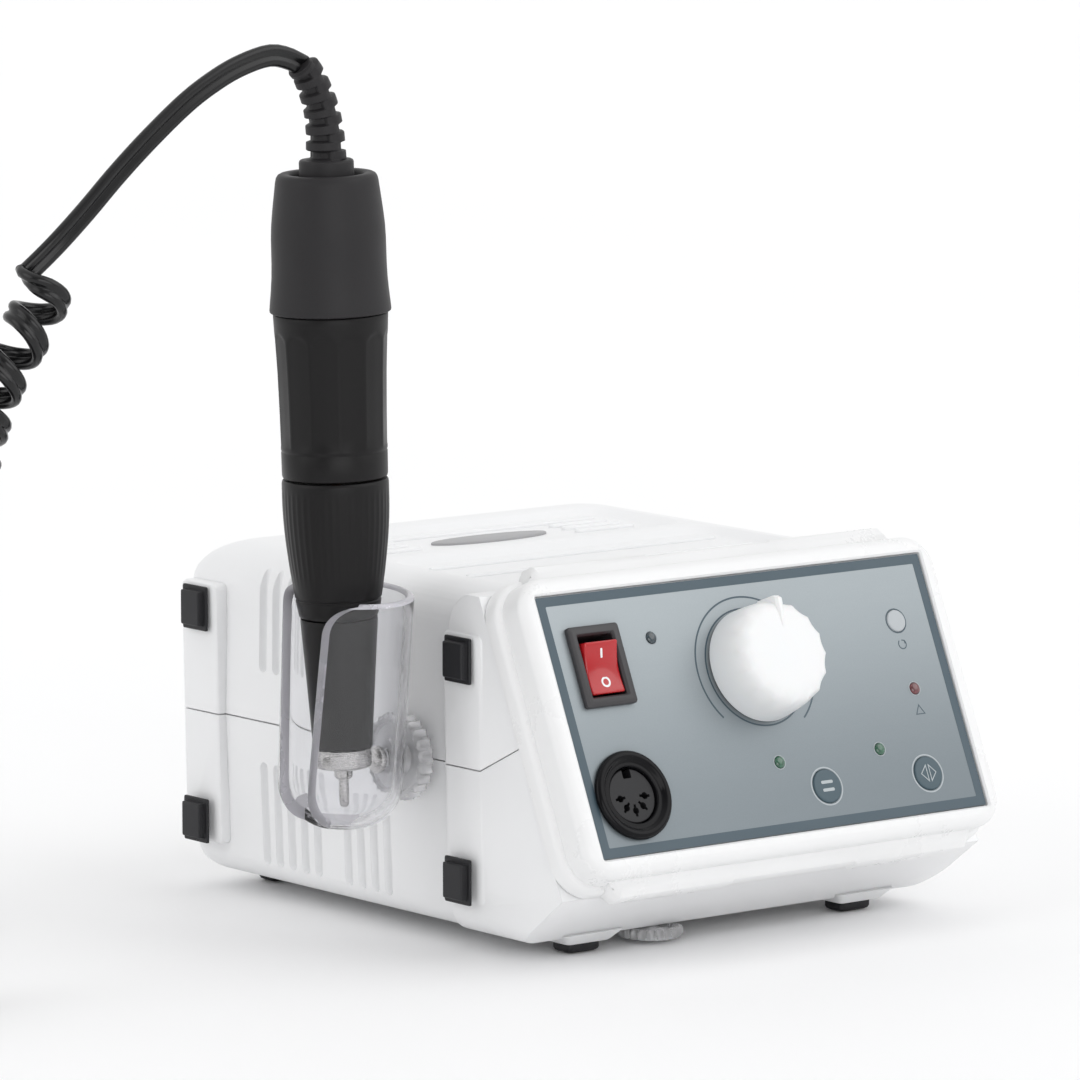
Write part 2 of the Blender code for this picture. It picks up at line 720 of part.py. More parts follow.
def bezel(panel):
    """Front frame: a rounded bead round the label on a wider flange, with a drilled floor."""
    white = plastic("white_abs", WHITE, 0.42)
    half_w = LABEL_WIDTH / 2 + BEZEL_MARGIN
    half_h = LABEL_HEIGHT / 2 + BEZEL_MARGIN
    bm = bmesh.new()
    rings = []
    for w, inset in (
        (-BEZEL_DEPTH + 0.0036, 0), (-0.0016, 0), (-0.0004, 0.0004), (0.0005, 0.0012),
        (BEZEL_LIP, 0.0026),
    ):
        outline = rounded(
            -half_w + inset, half_w - inset, -half_h + inset, half_h - inset,
            BEZEL_CORNER - inset, 5,
        )
        rings.append([(u, v, w) for u, v in outline])
    loft(bm, rings)
    made = finish("front_bezel", bm, white, panel)

    bm = bmesh.new()
    rings = []
    for w, spread in ((-BEZEL_DEPTH, 0), (-0.0085, 0), (-0.0072, -0.0010)):
        outline = rounded(
            -half_w - BEZEL_FLANGE - spread, half_w + BEZEL_FLANGE + spread,
            -half_h - BEZEL_FLANGE - spread, half_h + BEZEL_FLANGE + spread,
            BEZEL_CORNER + BEZEL_FLANGE, 5,
        )
        rings.append([(u, v, w) for u, v in outline])
    loft(bm, rings)
    combine(made, helper("bezel_flange", bm, panel), "UNION")
    for edge, sign in (("top", 1), ("bottom", -1)):
        bm = bmesh.new()
        bezel_band(bm, sign)
        combine(made, helper(f"bezel_band_{edge}", bm, panel), "UNION")

    bm = bmesh.new()
    label_w = LABEL_WIDTH / 2 + GAP
    label_h = LABEL_HEIGHT / 2 + GAP
    block(bm, -label_w, label_w, -label_h, label_h, -LABEL_THICKNESS - GAP, 0.01)
    combine(made, helper("label_recess", bm, panel), "DIFFERENCE")
    bm = bmesh.new()
    prism(bm, rounded(-half_w + WALL, half_w - WALL, -half_h + WALL, half_h - WALL, 0.005, 3),
          -0.03, -PANEL_FLOOR)
    combine(made, helper("bezel_hollow", bm, panel), "DIFFERENCE")
    bm = bmesh.new()
    control_holes(bm, -0.02, 0.01, GAP)
    combine(made, helper("panel_holes", bm, panel), "DIFFERENCE")
    return made


PANEL_FLOOR = 0.0030  # back of the drilled floor behind the label's face


def front_label(panel):
    """Thin metal plate let into the bezel, with a hole for each control."""
    metal = plastic("label_metal", (0.44, 0.49, 0.52), 0.38, 0.6)
    bm = bmesh.new()
    block(bm, -LABEL_WIDTH / 2, LABEL_WIDTH / 2, -LABEL_HEIGHT / 2, LABEL_HEIGHT / 2,
          -LABEL_THICKNESS, 0)
    made = finish("front_label", bm, metal, panel)
    bm = bmesh.new()
    control_holes(bm, -0.01, 0.01, GAP)
    combine(made, helper("label_holes", bm, panel), "DIFFERENCE")
    return made


def power_switch(panel):
    """Housing with a sprung bezel, and the rocker on its own pivot."""
    u, v = SWITCH_PLACE
    half_w = SWITCH_WIDTH / 2
    half_h = SWITCH_HEIGHT / 2
    bm = bmesh.new()
    rings = []
    for w, inset in ((GAP, 0), (0.0012, 0), (0.0018, 0.0007)):
        rings.append([(x, y, w) for x, y in rounded(
            -half_w + inset, half_w - inset, -half_h + inset, half_h - inset, 0.0008, 2)])
    loft(bm, rings)
    housing = finish("switch_housing", bm, plastic("black_gloss", BLACK, 0.25), panel, (u, v, 0))
    bm = bmesh.new()
    block(bm, -half_w + SWITCH_RIM, half_w - SWITCH_RIM,
          -half_h + SWITCH_RIM, half_h - SWITCH_RIM, -0.0100, 0.0010)
    combine(housing, helper("switch_body", bm, housing), "UNION")
    bm = bmesh.new()
    opening_w = half_w - SWITCH_RIM - 0.0010
    opening_h = half_h - SWITCH_RIM - 0.0010
    block(bm, -opening_w, opening_w, -opening_h, opening_h, -0.0086, 0.01)
    combine(housing, helper("switch_opening", bm, housing), "DIFFERENCE")

    pivot = empty("rocker_pivot", panel, (u, v, -0.0024), (ROCKER_TILT, 0, 0))
    reach = opening_h - 0.0012
    half = opening_w - GAP
    side_view = [
        (-reach * 0.60, -0.0046), (reach * 0.60, -0.0046), (reach, 0.0010), (reach, 0.0046),
        (reach * 0.5, 0.0039), (0, 0.0034), (-reach * 0.5, 0.0039), (-reach, 0.0046),
        (-reach, 0.0010),
    ]
    bm = bmesh.new()
    loft(bm, [[(x, y, z) for y, z in side_view] for x in (-half, half)])
    finish("rocker", bm, plastic("red_gloss", (0.72, 0.03, 0.04), 0.2), pivot)


def handpiece_socket(panel):
    """Round five-pole socket: a flanged ring with a slotted insert."""
    u, v = SOCKET_PLACE
    place = (u, v, 0)
    inner = SOCKET_INSERT_RADIUS + GAP
    bm = bmesh.new()
    turned(bm, [
        (inner, -0.0085), (inner + 0.0009, -0.0085), (inner + 0.0009, GAP),
        (SOCKET_RADIUS, GAP), (SOCKET_RADIUS, 0.0009), (SOCKET_RADIUS - 0.0008, 0.0018),
        (inner + 0.0018, 0.0018), (inner + 0.0012, 0.0012), (inner, 0.0010),
    ], 32)
    finish("handpiece_socket", bm, plastic("black_gloss", BLACK, 0.25), panel, place)
    bm = bmesh.new()
    prism(bm, circle(SOCKET_INSERT_RADIUS, 24), -0.0110, 0.0002)
    insert = finish("socket_insert", bm, plastic("black_satin", BLACK, 0.5), panel, place)
    bm = bmesh.new()
    for k in range(5):
        angle = math.radians(180 + 45 * k)
        spot = (0.0034 * math.cos(angle), 0.0034 * math.sin(angle))
        prism(bm, circle(0.0007, 8, spot), -0.0070, 0.01)
    block(bm, -0.0013, 0.0013, SOCKET_INSERT_RADIUS - 0.0016, SOCKET_INSERT_RADIUS + 0.001,
          -0.0070, 0.01)
    combine(insert, helper("socket_slots", bm, insert), "DIFFERENCE")


def speed_control(panel):
    """Potentiometer behind the panel, with a shaft and a scalloped knob on one axis."""
    u, v = KNOB_PLACE
    bm = bmesh.new()
    turned(bm, [
        (0, -0.0114), (POT_RADIUS, -0.0114), (POT_RADIUS, -0.0034), (0.0045, -0.0034),
        (SHAFT_RADIUS + 0.0005, -0.0034), (SHAFT_RADIUS + 0.0005, -0.0100), (0, -0.0100),
    ], 20)
    finish("potentiometer", bm, plastic("plated_steel", STEEL, 0.35, 1.0), panel, (u, v, 0))
    axis = empty("knob_axis", panel, (u, v, 0), (0, 0, -KNOB_TURN))
    bm = bmesh.new()
    prism(bm, circle(SHAFT_RADIUS, 16), -0.0097, KNOB_HEIGHT - 0.0047)
    finish("speed_shaft", bm, plastic("plated_steel", STEEL, 0.35, 1.0), axis)

    steps = KNOB_SCALLOPS * 3
    rings = []
    for w, radius, depth in (
        (0.0009, KNOB_RADIUS, 0), (0.0028, KNOB_RADIUS, 0), (0.0034, KNOB_RADIUS - 0.0002, 0.0005),
        (KNOB_HEIGHT - 0.0028, KNOB_RADIUS - 0.0010, 0.0006),
        (KNOB_HEIGHT - 0.0009, KNOB_RADIUS - 0.0019, 0.0004), (KNOB_HEIGHT, KNOB_RADIUS - 0.0042, 0),
    ):
        ring = []
        for k in range(steps):
            angle = math.tau * k / steps
            local = radius - (depth if k % 3 == 0 else 0)
            ring.append((local * math.cos(angle), local * math.sin(angle), w))
        rings.append(ring)
    bm = bmesh.new()
    loft(bm, rings)
    knob = finish("speed_knob", bm, plastic("white_abs", WHITE, 0.42), axis)
    bm = bmesh.new()
    pointer = [
        (-0.0016, 0.0060, KNOB_HEIGHT - 0.0030), (0.0016, 0.0060, KNOB_HEIGHT - 0.0030),
        (0.0016, KNOB_RADIUS + 0.0004, KNOB_HEIGHT - 0.0060),
        (-0.0016, KNOB_RADIUS + 0.0004, KNOB_HEIGHT - 0.0060),
    ]
    ridge = [
        (-0.0005, 0.0060, KNOB_HEIGHT + 0.0002), (0.0005, 0.0060, KNOB_HEIGHT + 0.0002),
        (0.0005, KNOB_RADIUS + 0.0002, KNOB_HEIGHT + 0.0002),
        (-0.0005, KNOB_RADIUS + 0.0002, KNOB_HEIGHT + 0.0002),
    ]
    loft(bm, [pointer, ridge])
    combine(knob, helper("knob_pointer", bm, axis), "UNION")
    bm = bmesh.new()
    prism(bm, circle(SHAFT_RADIUS + GAP, 16), -0.01, KNOB_HEIGHT - 0.0044)
    combine(knob, helper("knob_bore", bm, axis), "DIFFERENCE")


def lamps(panel):
    colors = {
        "power_lamp": (0.05, 0.08, 0.10), "mode_lamp": (0.03, 0.16, 0.10),
        "direction_lamp": (0.03, 0.16, 0.10), "overload_lamp": (0.20, 0.04, 0.05),
    }
    for name, (u, v) in LAMP_PLACES.items():
        bm = bmesh.new()
        turned(bm, [
            (0, -0.0060), (LAMP_RADIUS, -0.0060), (LAMP_RADIUS, 0.0001),
            (LAMP_RADIUS * 0.6, 0.0006), (0, 0.0007),
        ], 12)
        finish(name, bm, plastic(name + "_lens", colors[name], 0.15), panel, (u, v, 0))


def buttons(panel):
    """Push buttons: a cap just proud of the label and a stem back to the board's switch."""
    for name, (u, v, radius) in BUTTON_PLACES.items():
        color = (0.42, 0.46, 0.49) if name == "reset_button" else (0.055, 0.085, 0.105)
        axis = empty(name + "_axis", panel, (u, v, 0))
        bm = bmesh.new()
        turned(bm, [
            (0, -0.0100), (0.0012, -0.0100), (0.0012, -0.0022), (radius, -0.0022),
            (radius, BUTTON_PROUD * 0.5), (radius - 0.0003, BUTTON_PROUD), (0, BUTTON_PROUD),
        ], 20)
        finish(name, bm, plastic(name + "_cap", color, 0.4), axis)


# ---------------------------------------------------------------- inside the case
def control_board(panel):
    """Circuit board behind the controls, clear of the switch and the socket."""
    bm = bmesh.new()
    block(bm, -0.032, 0.054, -0.026, 0.028, -0.0140, -0.0124)
    made = finish("control_board", bm, plastic("board_green", (0.02, 0.16, 0.08), 0.5), panel)
    bm = bmesh.new()
    for u, v in ((-0.0028, -0.0145), (0.0307, -0.004), (0.020, 0.018)):
        block(bm, u - 0.004, u + 0.004, v - 0.003, v + 0.003, -0.0175, -0.0135)
    combine(made, helper("board_parts", bm, panel), "UNION")


def transformer(parent):
    """Laminated core with two windows, and a winding round its middle leg."""
    x, y, z = 0.0, CASE_BACK - TRANSFORMER_INSET, CASE_FLOOR + WALL + GAP
    half_w, height, depth = 0.026, 0.044, 0.024
    leg, window = 0.0085, 0.0095
    bm = bmesh.new()
    loft(bm, [[(u, w, v) for u, v in (
        (-half_w, 0), (half_w, 0), (half_w, height), (-half_w, height))]
        for w in (-depth / 2, depth / 2)])
    core = finish("transformer_core", bm, plastic("lamination", (0.16, 0.16, 0.17), 0.5, 0.8),
                  parent, (x, y, z))
    bm = bmesh.new()
    for sign in (-1, 1):
        near = sign * leg
        far = sign * (leg + window)
        block(bm, min(near, far), max(near, far), -depth, depth, 0.008, height - 0.008)
    combine(core, helper("core_windows", bm, core), "DIFFERENCE")
    bm = bmesh.new()
    outer = leg + window - 2 * GAP
    block(bm, -outer, outer, -depth / 2 - window, depth / 2 + window,
          0.008 + GAP, height - 0.008 - GAP)
    winding = finish("transformer_winding", bm, plastic("copper", (0.55, 0.25, 0.12), 0.4, 1.0),
                     parent, (x, y, z))
    bm = bmesh.new()
    block(bm, -leg - GAP, leg + GAP, -depth / 2 - GAP, depth / 2 + GAP, 0, height)
    combine(winding, helper("winding_bore", bm, winding), "DIFFERENCE")


def rear_fittings(parent):
    """Mains inlet, fuse holder and pedal jack, all set through the lower shell's back."""
    face = CASE_BACK + GAP
    z = REAR_FITTING_HEIGHT
    black = plastic("black_gloss", BLACK, 0.25)
    x, half_x, half_z = REAR_FITTINGS["mains_inlet"]
    bm = bmesh.new()
    loft(bm, [[(u, y, v) for u, v in rounded(
        -half_x - 0.0055, half_x + 0.0055, -half_z - 0.0022, half_z + 0.0022, 0.003, 3)]
        for y in (0, 0.0022)])
    inlet = finish("mains_inlet", bm, black, parent, (x, face, z))
    bm = bmesh.new()
    block(bm, -half_x, half_x, -0.0170, 0.0010, -half_z, half_z)
    combine(inlet, helper("inlet_body", bm, inlet), "UNION")
    bm = bmesh.new()
    outline = [(-0.0115, -0.0070), (0.0115, -0.0070), (0.0115, 0.0020), (0.0075, 0.0070),
               (-0.0075, 0.0070), (-0.0115, 0.0020)]
    loft(bm, [[(u, y, v) for u, v in outline] for y in (-0.0150, 0.01)])
    combine(inlet, helper("inlet_recess", bm, inlet), "DIFFERENCE")
    bm = bmesh.new()
    for u, v in ((-0.0068, -0.0012), (0, 0.0024), (0.0068, -0.0012)):
        block(bm, u - 0.0010, u + 0.0010, -0.0160, -0.0030, v - 0.0022, v + 0.0022)
    combine(inlet, helper("inlet_pins", bm, inlet), "UNION")

    x, radius, _ = REAR_FITTINGS["fuse_holder"]
    bm = bmesh.new()
    verts = turned(bm, [
        (0, -0.0200), (radius, -0.0200), (radius, 0), (radius + 0.0022, 0),
        (radius + 0.0022, 0.0018), (0.0048, 0.0018), (0.0044, 0.0055), (0, 0.0055),
    ], 20)
    move(verts, along_y(0, 0, 0))
    finish("fuse_holder", bm, black, parent, (x, face, z))
    x, radius, _ = REAR_FITTINGS["pedal_jack"]
    bm = bmesh.new()
    verts = turned(bm, [
        (0, -0.0150), (radius, -0.0150), (radius, 0), (radius + 0.0018, 0),
        (radius + 0.0018, 0.0016), (0.0019, 0.0016), (0.0019, -0.0120), (0, -0.0120),
    ], 20)
    move(verts, along_y(0, 0, 0))
    finish("pedal_jack", bm, black, parent, (x, face, z))


# ---------------------------------------------------------------- handpiece rest
def cup_profile(inset):
    """(radius, height) up one wall of the cup, from its rounded foot to its rim."""
    low = -CUP_BELOW + inset
    bend = 0.0100 - inset * 0.6
    radius = CUP_FOOT_RADIUS - inset
    profile = [(0, low), (radius - bend, low)]
    for angle in (30, 60, 90):
        profile.append((
            radius - bend + bend * math.sin(math.radians(angle)),
            low + bend * (1 - math.cos(math.radians(angle))),
        ))
    profile.append((CUP_RADIUS - inset * RIM_SHARE, CUP_ABOVE))
    return profile


def holder(parent):
    """The clear cup on its pivot, with a tapering slot down its outer side."""
    clear = plastic("clear_plastic", CLEAR, 0.12, 0.0, 0.35)
    pivot = empty("holder_pivot", parent, PIVOT, (CUP_TILT, 0, 0))
    bm = bmesh.new()
    outer = cup_profile(0)
    inner = cup_profile(CUP_WALL)
    turned(bm, [*outer, *reversed(inner)], 32)
    cup = finish("holder_cup", bm, clear, pivot)
    bm = bmesh.new()
    top = SLOT_TOP / 2
    foot = SLOT_FOOT / 2
    flare = 0.0085
    outline = [(-foot * 0.8, -0.03), (foot * 0.8, -0.03), (foot, -CUP_BELOW + 0.012)]
    outline += [(top, CUP_ABOVE - flare)]
    outline += arc((top + flare, CUP_ABOVE - flare), flare, 180, 90, 4)[1:]
    outline += [(top + flare, CUP_ABOVE + 0.01), (-top - flare, CUP_ABOVE + 0.01)]
    outline += arc((-top - flare, CUP_ABOVE - flare), flare, 90, 0, 4)
    outline += [(-foot, -CUP_BELOW + 0.012)]
    loft(bm, [[(x, y, z) for y, z in outline] for x in (-0.03, -CUP_FOOT_RADIUS * 0.42)])
    combine(cup, helper("cup_slot", bm, pivot), "DIFFERENCE")
    bm = bmesh.new()
    verts = prism(bm, circle(STUD_RADIUS + GAP, 16), 0.005, 0.03)
    verts += prism(bm, circle(0.0040, 16), 0.005, CUP_RADIUS - CUP_WALL - 0.0014)
    move(verts, Matrix.Rotation(-CUP_TILT, 4, "X") @ along_x(0, 0, 0))
    combine(cup, helper("cup_stud_hole", bm, pivot), "DIFFERENCE")

    steel = plastic("plated_steel", STEEL, 0.35, 1.0)
    head = -CUP_OFFSET + CUP_RADIUS - CUP_WALL - 0.0014 - GAP
    bm = bmesh.new()
    verts = turned(bm, [
        (0, head - 0.0014), (0.0028, head - 0.0014), (0.0033, head - 0.0008), (0.0033, head),
        (STUD_RADIUS, head), (STUD_RADIUS, WALL + 0.0005), (0.0042, WALL + 0.0005),
        (0.0042, WALL + 0.0040), (0, WALL + 0.0040),
    ], 16)
    move(verts, along_x(0, 0, 0))
    finish("holder_stud", bm, steel, parent, (-CASE_HALF_WIDTH, PIVOT_Y, PARTING_HEIGHT))

    wheel_axis = empty(
        "clamp_wheel_axis", parent, (-CASE_HALF_WIDTH - 0.0016, PIVOT_Y, PARTING_HEIGHT),
    )
    knurled_wheel("clamp_wheel", WHEEL_RADIUS, WHEEL_THICKNESS, wheel_axis, along_x(
        -WHEEL_THICKNESS, 0, 0))
    low_axis = empty("low_wheel_axis", parent, (*LOW_WHEEL_PLACE, 0.0008))
    knurled_wheel("low_wheel", LOW_WHEEL_RADIUS, 0.0026, low_axis, Matrix())
    bm = bmesh.new()
    turned(bm, [
        (0, 0.0010), (STUD_RADIUS, 0.0010), (STUD_RADIUS, CASE_FLOOR + WALL + GAP),
        (0.0030, CASE_FLOOR + WALL + GAP), (0.0030, CASE_FLOOR + WALL + 0.003),
        (0, CASE_FLOOR + WALL + 0.003),
    ], 12)
    finish("low_stud", bm, steel, parent, (*LOW_WHEEL_PLACE, 0))


def knurled_wheel(name, radius, thickness, axis, place):
    """A clear thumbwheel with a bore and a toothed edge."""
    steps = WHEEL_KNURLS * 2
    bore = STUD_RADIUS + GAP
    rows = []
    bm = bmesh.new()
    for size, height in (
        (bore, 0), (radius - 0.0008, 0), (radius, 0.0006), (radius, thickness - 0.0006),
        (radius - 0.0008, thickness), (bore, thickness),
    ):
        row = []
        for k in range(steps):
            angle = math.tau * k / steps
            local = size - (0.0007 if size == radius and k % 2 else 0)
            row.append(bm.verts.new((local * math.cos(angle), local * math.sin(angle), height)))
        rows.append(row)
    for k, low in enumerate(rows):
        high = rows[(k + 1) % len(rows)]
        for i in range(steps):
            j = (i + 1) % steps
            bm.faces.new((low[i], low[j], high[j], high[i]))
    move([vert for row in rows for vert in row], place)
    finish(name, bm, plastic("clear_plastic", CLEAR, 0.12, 0.0, 0.35), axis)


# ---------------------------------------------------------------- handpiece
def handpiece_axis(parent):
    """Empty at the nose, with local Z up the leaning handpiece."""
    return empty("handpiece_axis", parent, (*HANDPIECE_PLACE, NOSE_HEIGHT),
                 (0, -HANDPIECE_LEAN, 0))


def handpiece_shells(axis):
    """The black outer pieces, from the nose up to the cap."""
    black = plastic("black_abs", BLACK, 0.45)
    rubber = plastic("black_soft", BLACK, 0.6)
    core = NOSE_BORE + 0.0015
    bm = bmesh.new()
    turned(bm, [
        (NOSE_BORE, NOSE_RING_TOP + GAP), (NOSE_TIP_RADIUS, NOSE_RING_TOP + GAP),
        (NOSE_TIP_RADIUS + 0.0001, NOSE_RING_TOP + 0.001), (0.00912, NOSE_TOP),
        (core, NOSE_TOP), (core, TWIST_TOP - 0.004), (NOSE_BORE, TWIST_TOP - 0.004),
    ], 28)
    finish("nose_cone", bm, black, axis)

    bore = core + GAP
    low = NOSE_TOP + GAP
    twist_axis = empty("twist_axis", axis)
    bm = bmesh.new()
    turned(bm, [
        (bore, low), (0.00925, low), (0.01015, 0.0402), (0.01115, 0.0470), (0.0120, 0.0535),
        (TWIST_RADIUS - 0.0001, 0.0590), (TWIST_RADIUS, TWIST_TOP - 0.0006),
        (TWIST_RADIUS - 0.0004, TWIST_TOP), (bore, TWIST_TOP),
    ], 32)
    finish("twist_sleeve", bm, rubber, twist_axis)

    low = TWIST_TOP + 0.0005
    inner = MOTOR_RADIUS + GAP
    facets = 12
    rings = []
    for z, radius, flat in (
        (low, 0.0120, 0), (low + 0.0008, 0.0123, 0), (0.0745, 0.0124, 0), (0.0765, 0.0124, 1),
        (0.0930, 0.0128, 1), (0.1010, 0.0131, 1), (0.1024, 0.0132, 0), (GRIP_TOP, GRIP_RADIUS, 0),
    ):
        ring = []
        for k in range(facets * 3):
            angle = math.tau * k / (facets * 3)
            drop = 0.00022 * flat if k % 3 else -0.00012 * flat
            ring.append(((radius - drop) * math.cos(angle), (radius - drop) * math.sin(angle), z))
        rings.append(ring)
    bm = bmesh.new()
    loft(bm, rings)
    grip = finish("grip_sleeve", bm, black, axis)
    bm = bmesh.new()
    prism(bm, circle(inner, 28), 0.05, 0.15)
    combine(grip, helper("grip_bore", bm, axis), "DIFFERENCE")

    low = GRIP_TOP + GAP
    bm = bmesh.new()
    turned(bm, [
        (inner, low), (CAP_RADIUS, low), (CAP_RADIUS - 0.0001, low + 0.0012), (0.0134, 0.1152),
        (0.01285, 0.1290), (0.0119, 0.1372), (0.0113, 0.1386), (0.0108, CAP_TOP),
        (0.0085, CAP_TOP), (0.0085, 0.1330), (COLLAR_RADIUS + GAP, 0.1330),
        (COLLAR_RADIUS + GAP, 0.1305), (inner, 0.1305),
    ], 32)
    finish("rear_cap", bm, rubber, axis)


def handpiece_drive(axis):
    """Motor, spindle, bearings, collet and bit, all on the handpiece's axis."""
    steel = plastic("bright_steel", (0.72, 0.72, 0.73), 0.2, 1.0)
    dark = plastic("plated_steel", STEEL, 0.35, 1.0)
    bore = SPINDLE_RADIUS + GAP
    bm = bmesh.new()
    turned(bm, [
        (bore + 0.0006, 0), (0.0062, 0), (0.0067, 0.0005), (0.0067, NOSE_RING_TOP),
        (bore + 0.0006, NOSE_RING_TOP),
    ], 28)
    finish("nose_ring", bm, steel, axis)
    for name, low in (("front_bearing", 0.0060), ("rear_bearing", TWIST_TOP - 0.0100)):
        bm = bmesh.new()
        turned(bm, [
            (bore, low), (NOSE_BORE - GAP, low), (NOSE_BORE - GAP, low + 0.004),
            (bore, low + 0.004),
        ], 20)
        finish(name, bm, dark, axis)
    bm = bmesh.new()
    turned(bm, [
        (MOTOR_RADIUS - MOTOR_WALL, 0.0710), (MOTOR_RADIUS, 0.0710), (MOTOR_RADIUS, 0.1240),
        (0, 0.1240), (0, 0.1230), (MOTOR_RADIUS - MOTOR_WALL, 0.1230),
    ], 24)
    finish("motor_can", bm, dark, axis)

    spin = empty("spindle_axis", axis)
    collet_bore = COLLET_RADIUS + GAP
    bm = bmesh.new()
    turned(bm, [
        (collet_bore, 0.0008), (SPINDLE_RADIUS, 0.0008), (SPINDLE_RADIUS, TWIST_TOP - 0.0020),
        (0, TWIST_TOP - 0.0020), (0, 0.0250), (collet_bore, 0.0250),
    ], 16)
    finish("spindle", bm, steel, spin)
    rotor = MOTOR_RADIUS - MOTOR_WALL - ROTOR_CLEARANCE
    bm = bmesh.new()
    turned(bm, [
        (0, TWIST_TOP - 0.0017), (0.0012, TWIST_TOP - 0.0017), (0.0012, 0.0730),
        (rotor, 0.0745), (rotor, 0.1070), (rotor - 0.0036, 0.1080), (rotor - 0.0036, 0.1150),
        (0.0012, 0.1160), (0.0012, 0.1215), (0, 0.1215),
    ], 20)
    finish("rotor", bm, plastic("copper", (0.55, 0.25, 0.12), 0.4, 1.0), spin)
    bit_bore = BIT_RADIUS + GAP
    bm = bmesh.new()
    turned(bm, [
        (bit_bore, -0.0028), (COLLET_RADIUS - 0.0004, -0.0028), (COLLET_RADIUS, -0.0022),
        (COLLET_RADIUS, 0.0235), (bit_bore, 0.0235),
    ], 16)
    finish("collet", bm, steel, spin)
    bm = bmesh.new()
    turned(bm, [
        (0, -BIT_REACH), (BIT_RADIUS * 0.75, -BIT_REACH + 0.0002),
        (BIT_RADIUS, -BIT_REACH + 0.0009), (BIT_RADIUS, 0.0200), (0, 0.0200),
    ], 12)
    finish("bit", bm, steel, spin)


def boot_profile(share):
    """Radius of the strain relief along its length: a neck, then six ribs that get smaller."""
    size = 0.00465 - 0.00125 * share
    rib = math.sin(share * 6 * math.pi) ** 2
    return size - 0.0007 * (1 - rib) * (0 < share < 1)


def strain_relief(axis, parent):
    """Collar in the cap's mouth, and the ribbed boot that bends over towards the cord."""
    black = plastic("black_soft", BLACK, 0.6)
    bm = bmesh.new()
    turned(bm, [
        (0, 0.1245), (0.0050, 0.1245), (0.0050, 0.1300), (COLLAR_RADIUS, 0.1310),
        (COLLAR_RADIUS, COLLAR_TOP - 0.0004), (COLLAR_RADIUS - 0.0004, COLLAR_TOP),
        (0, COLLAR_TOP),
    ], 20)
    made = finish("strain_relief", bm, black, axis)
    base = axis_point(COLLAR_TOP - 0.002)
    y = HANDPIECE_PLACE[1]
    path = [base, base + Vector((-0.0002, 0, 0.0060))]
    for out, height in BOOT_ROUTE:
        path.append(Vector((HANDPIECE_PLACE[0] - out, y, height)))
    places = smooth_route(path, 0.00115)
    rings = []
    for k, place in enumerate(places):
        ahead = places[min(k + 1, len(places) - 1)] - places[max(k - 1, 0)]
        turn = Vector((0, 0, 1)).rotation_difference(ahead.normalized()).to_matrix()
        radius = boot_profile(k / (len(places) - 1))
        rings.append([place + turn @ Vector((x, y, 0)) for x, y in circle(radius, 12)])
    bm = bmesh.new()
    loft(bm, rings)
    combine(made, helper("boot", bm, parent), "UNION")


def axis_point(height):
    """World place, before the origin is moved, of a height on the handpiece's axis."""
    return Vector((
        HANDPIECE_PLACE[0] - math.sin(HANDPIECE_LEAN) * height, HANDPIECE_PLACE[1],
        NOSE_HEIGHT + math.cos(HANDPIECE_LEAN) * height,
    ))


# ---------------------------------------------------------------- cord
def cord(parent):
    """Plain solids of the cord: lead, hanging curl, curl on the table, straight end, plug."""
    vinyl = plastic("black_vinyl", BLACK, 0.35)
    radius = LEAD_WIDTH / 2
    tube("cord_lead", LEAD_ROUTE, radius, 2, LEAD_STEP, vinyl, parent, (0.0016, GAP))
    tube("cord_curl", HANGING_ROUTE, CURL_RADIUS, 3, CURL_STEP, vinyl, parent, (GAP, 0))
    tube("cord_coil", TABLE_ROUTE, CURL_RADIUS, 3, COIL_STEP, vinyl, parent)
    tube("cord_tail", TAIL_ROUTE, radius, 2, LEAD_STEP, vinyl, parent, (GAP, 0.0012))
    end = Vector(TAIL_ROUTE[-1])
    turn = (math.radians(-90), 0, 0)
    length = PLUG_GRIP_LENGTH
    bm = bmesh.new()
    turned(bm, [
        (0, 0), (radius + 0.0008, 0), (0.0050, 0.0060), (PLUG_GRIP_RADIUS, 0.0085),
        (PLUG_GRIP_RADIUS, length), (0, length),
    ], 20)
    finish("plug_grip", bm, plastic("black_abs", BLACK, 0.45), parent, end, turn)
    bm = bmesh.new()
    low = length + GAP
    high = length + PLUG_SHELL_LENGTH
    turned(bm, [
        (0, low), (PLUG_SHELL_RADIUS, low), (PLUG_SHELL_RADIUS, high), (0.0058, high),
        (0.0058, low + 0.002), (0, low + 0.002),
    ], 24)
    finish("plug_shell", bm, plastic("bright_steel", (0.72, 0.72, 0.73), 0.2, 1.0), parent,
           end, turn)


CORD_NAMES = ("cord_lead", "cord_curl", "cord_coil", "cord_tail", "plug_grip", "plug_shell")


def centre_on_origin(frame):
    """Moves the frame so that the object, without its cord, stands centred on the origin."""
    bpy.context.view_layer.update()
    graph = bpy.context.evaluated_depsgraph_get()
    corners = []
    for item in bpy.context.scene.objects:
        if item.type != "MESH" or item.hide_render or item.name in CORD_NAMES:
            continue
        solid = item.evaluated_get(graph)
        corners += [solid.matrix_world @ vert.co for vert in solid.data.vertices]
    lows = [min(point[k] for point in corners) for k in range(3)]
    highs = [max(point[k] for point in corners) for k in range(3)]
    frame.location = (-(lows[0] + highs[0]) / 2, -(lows[1] + highs[1]) / 2, -lows[2])


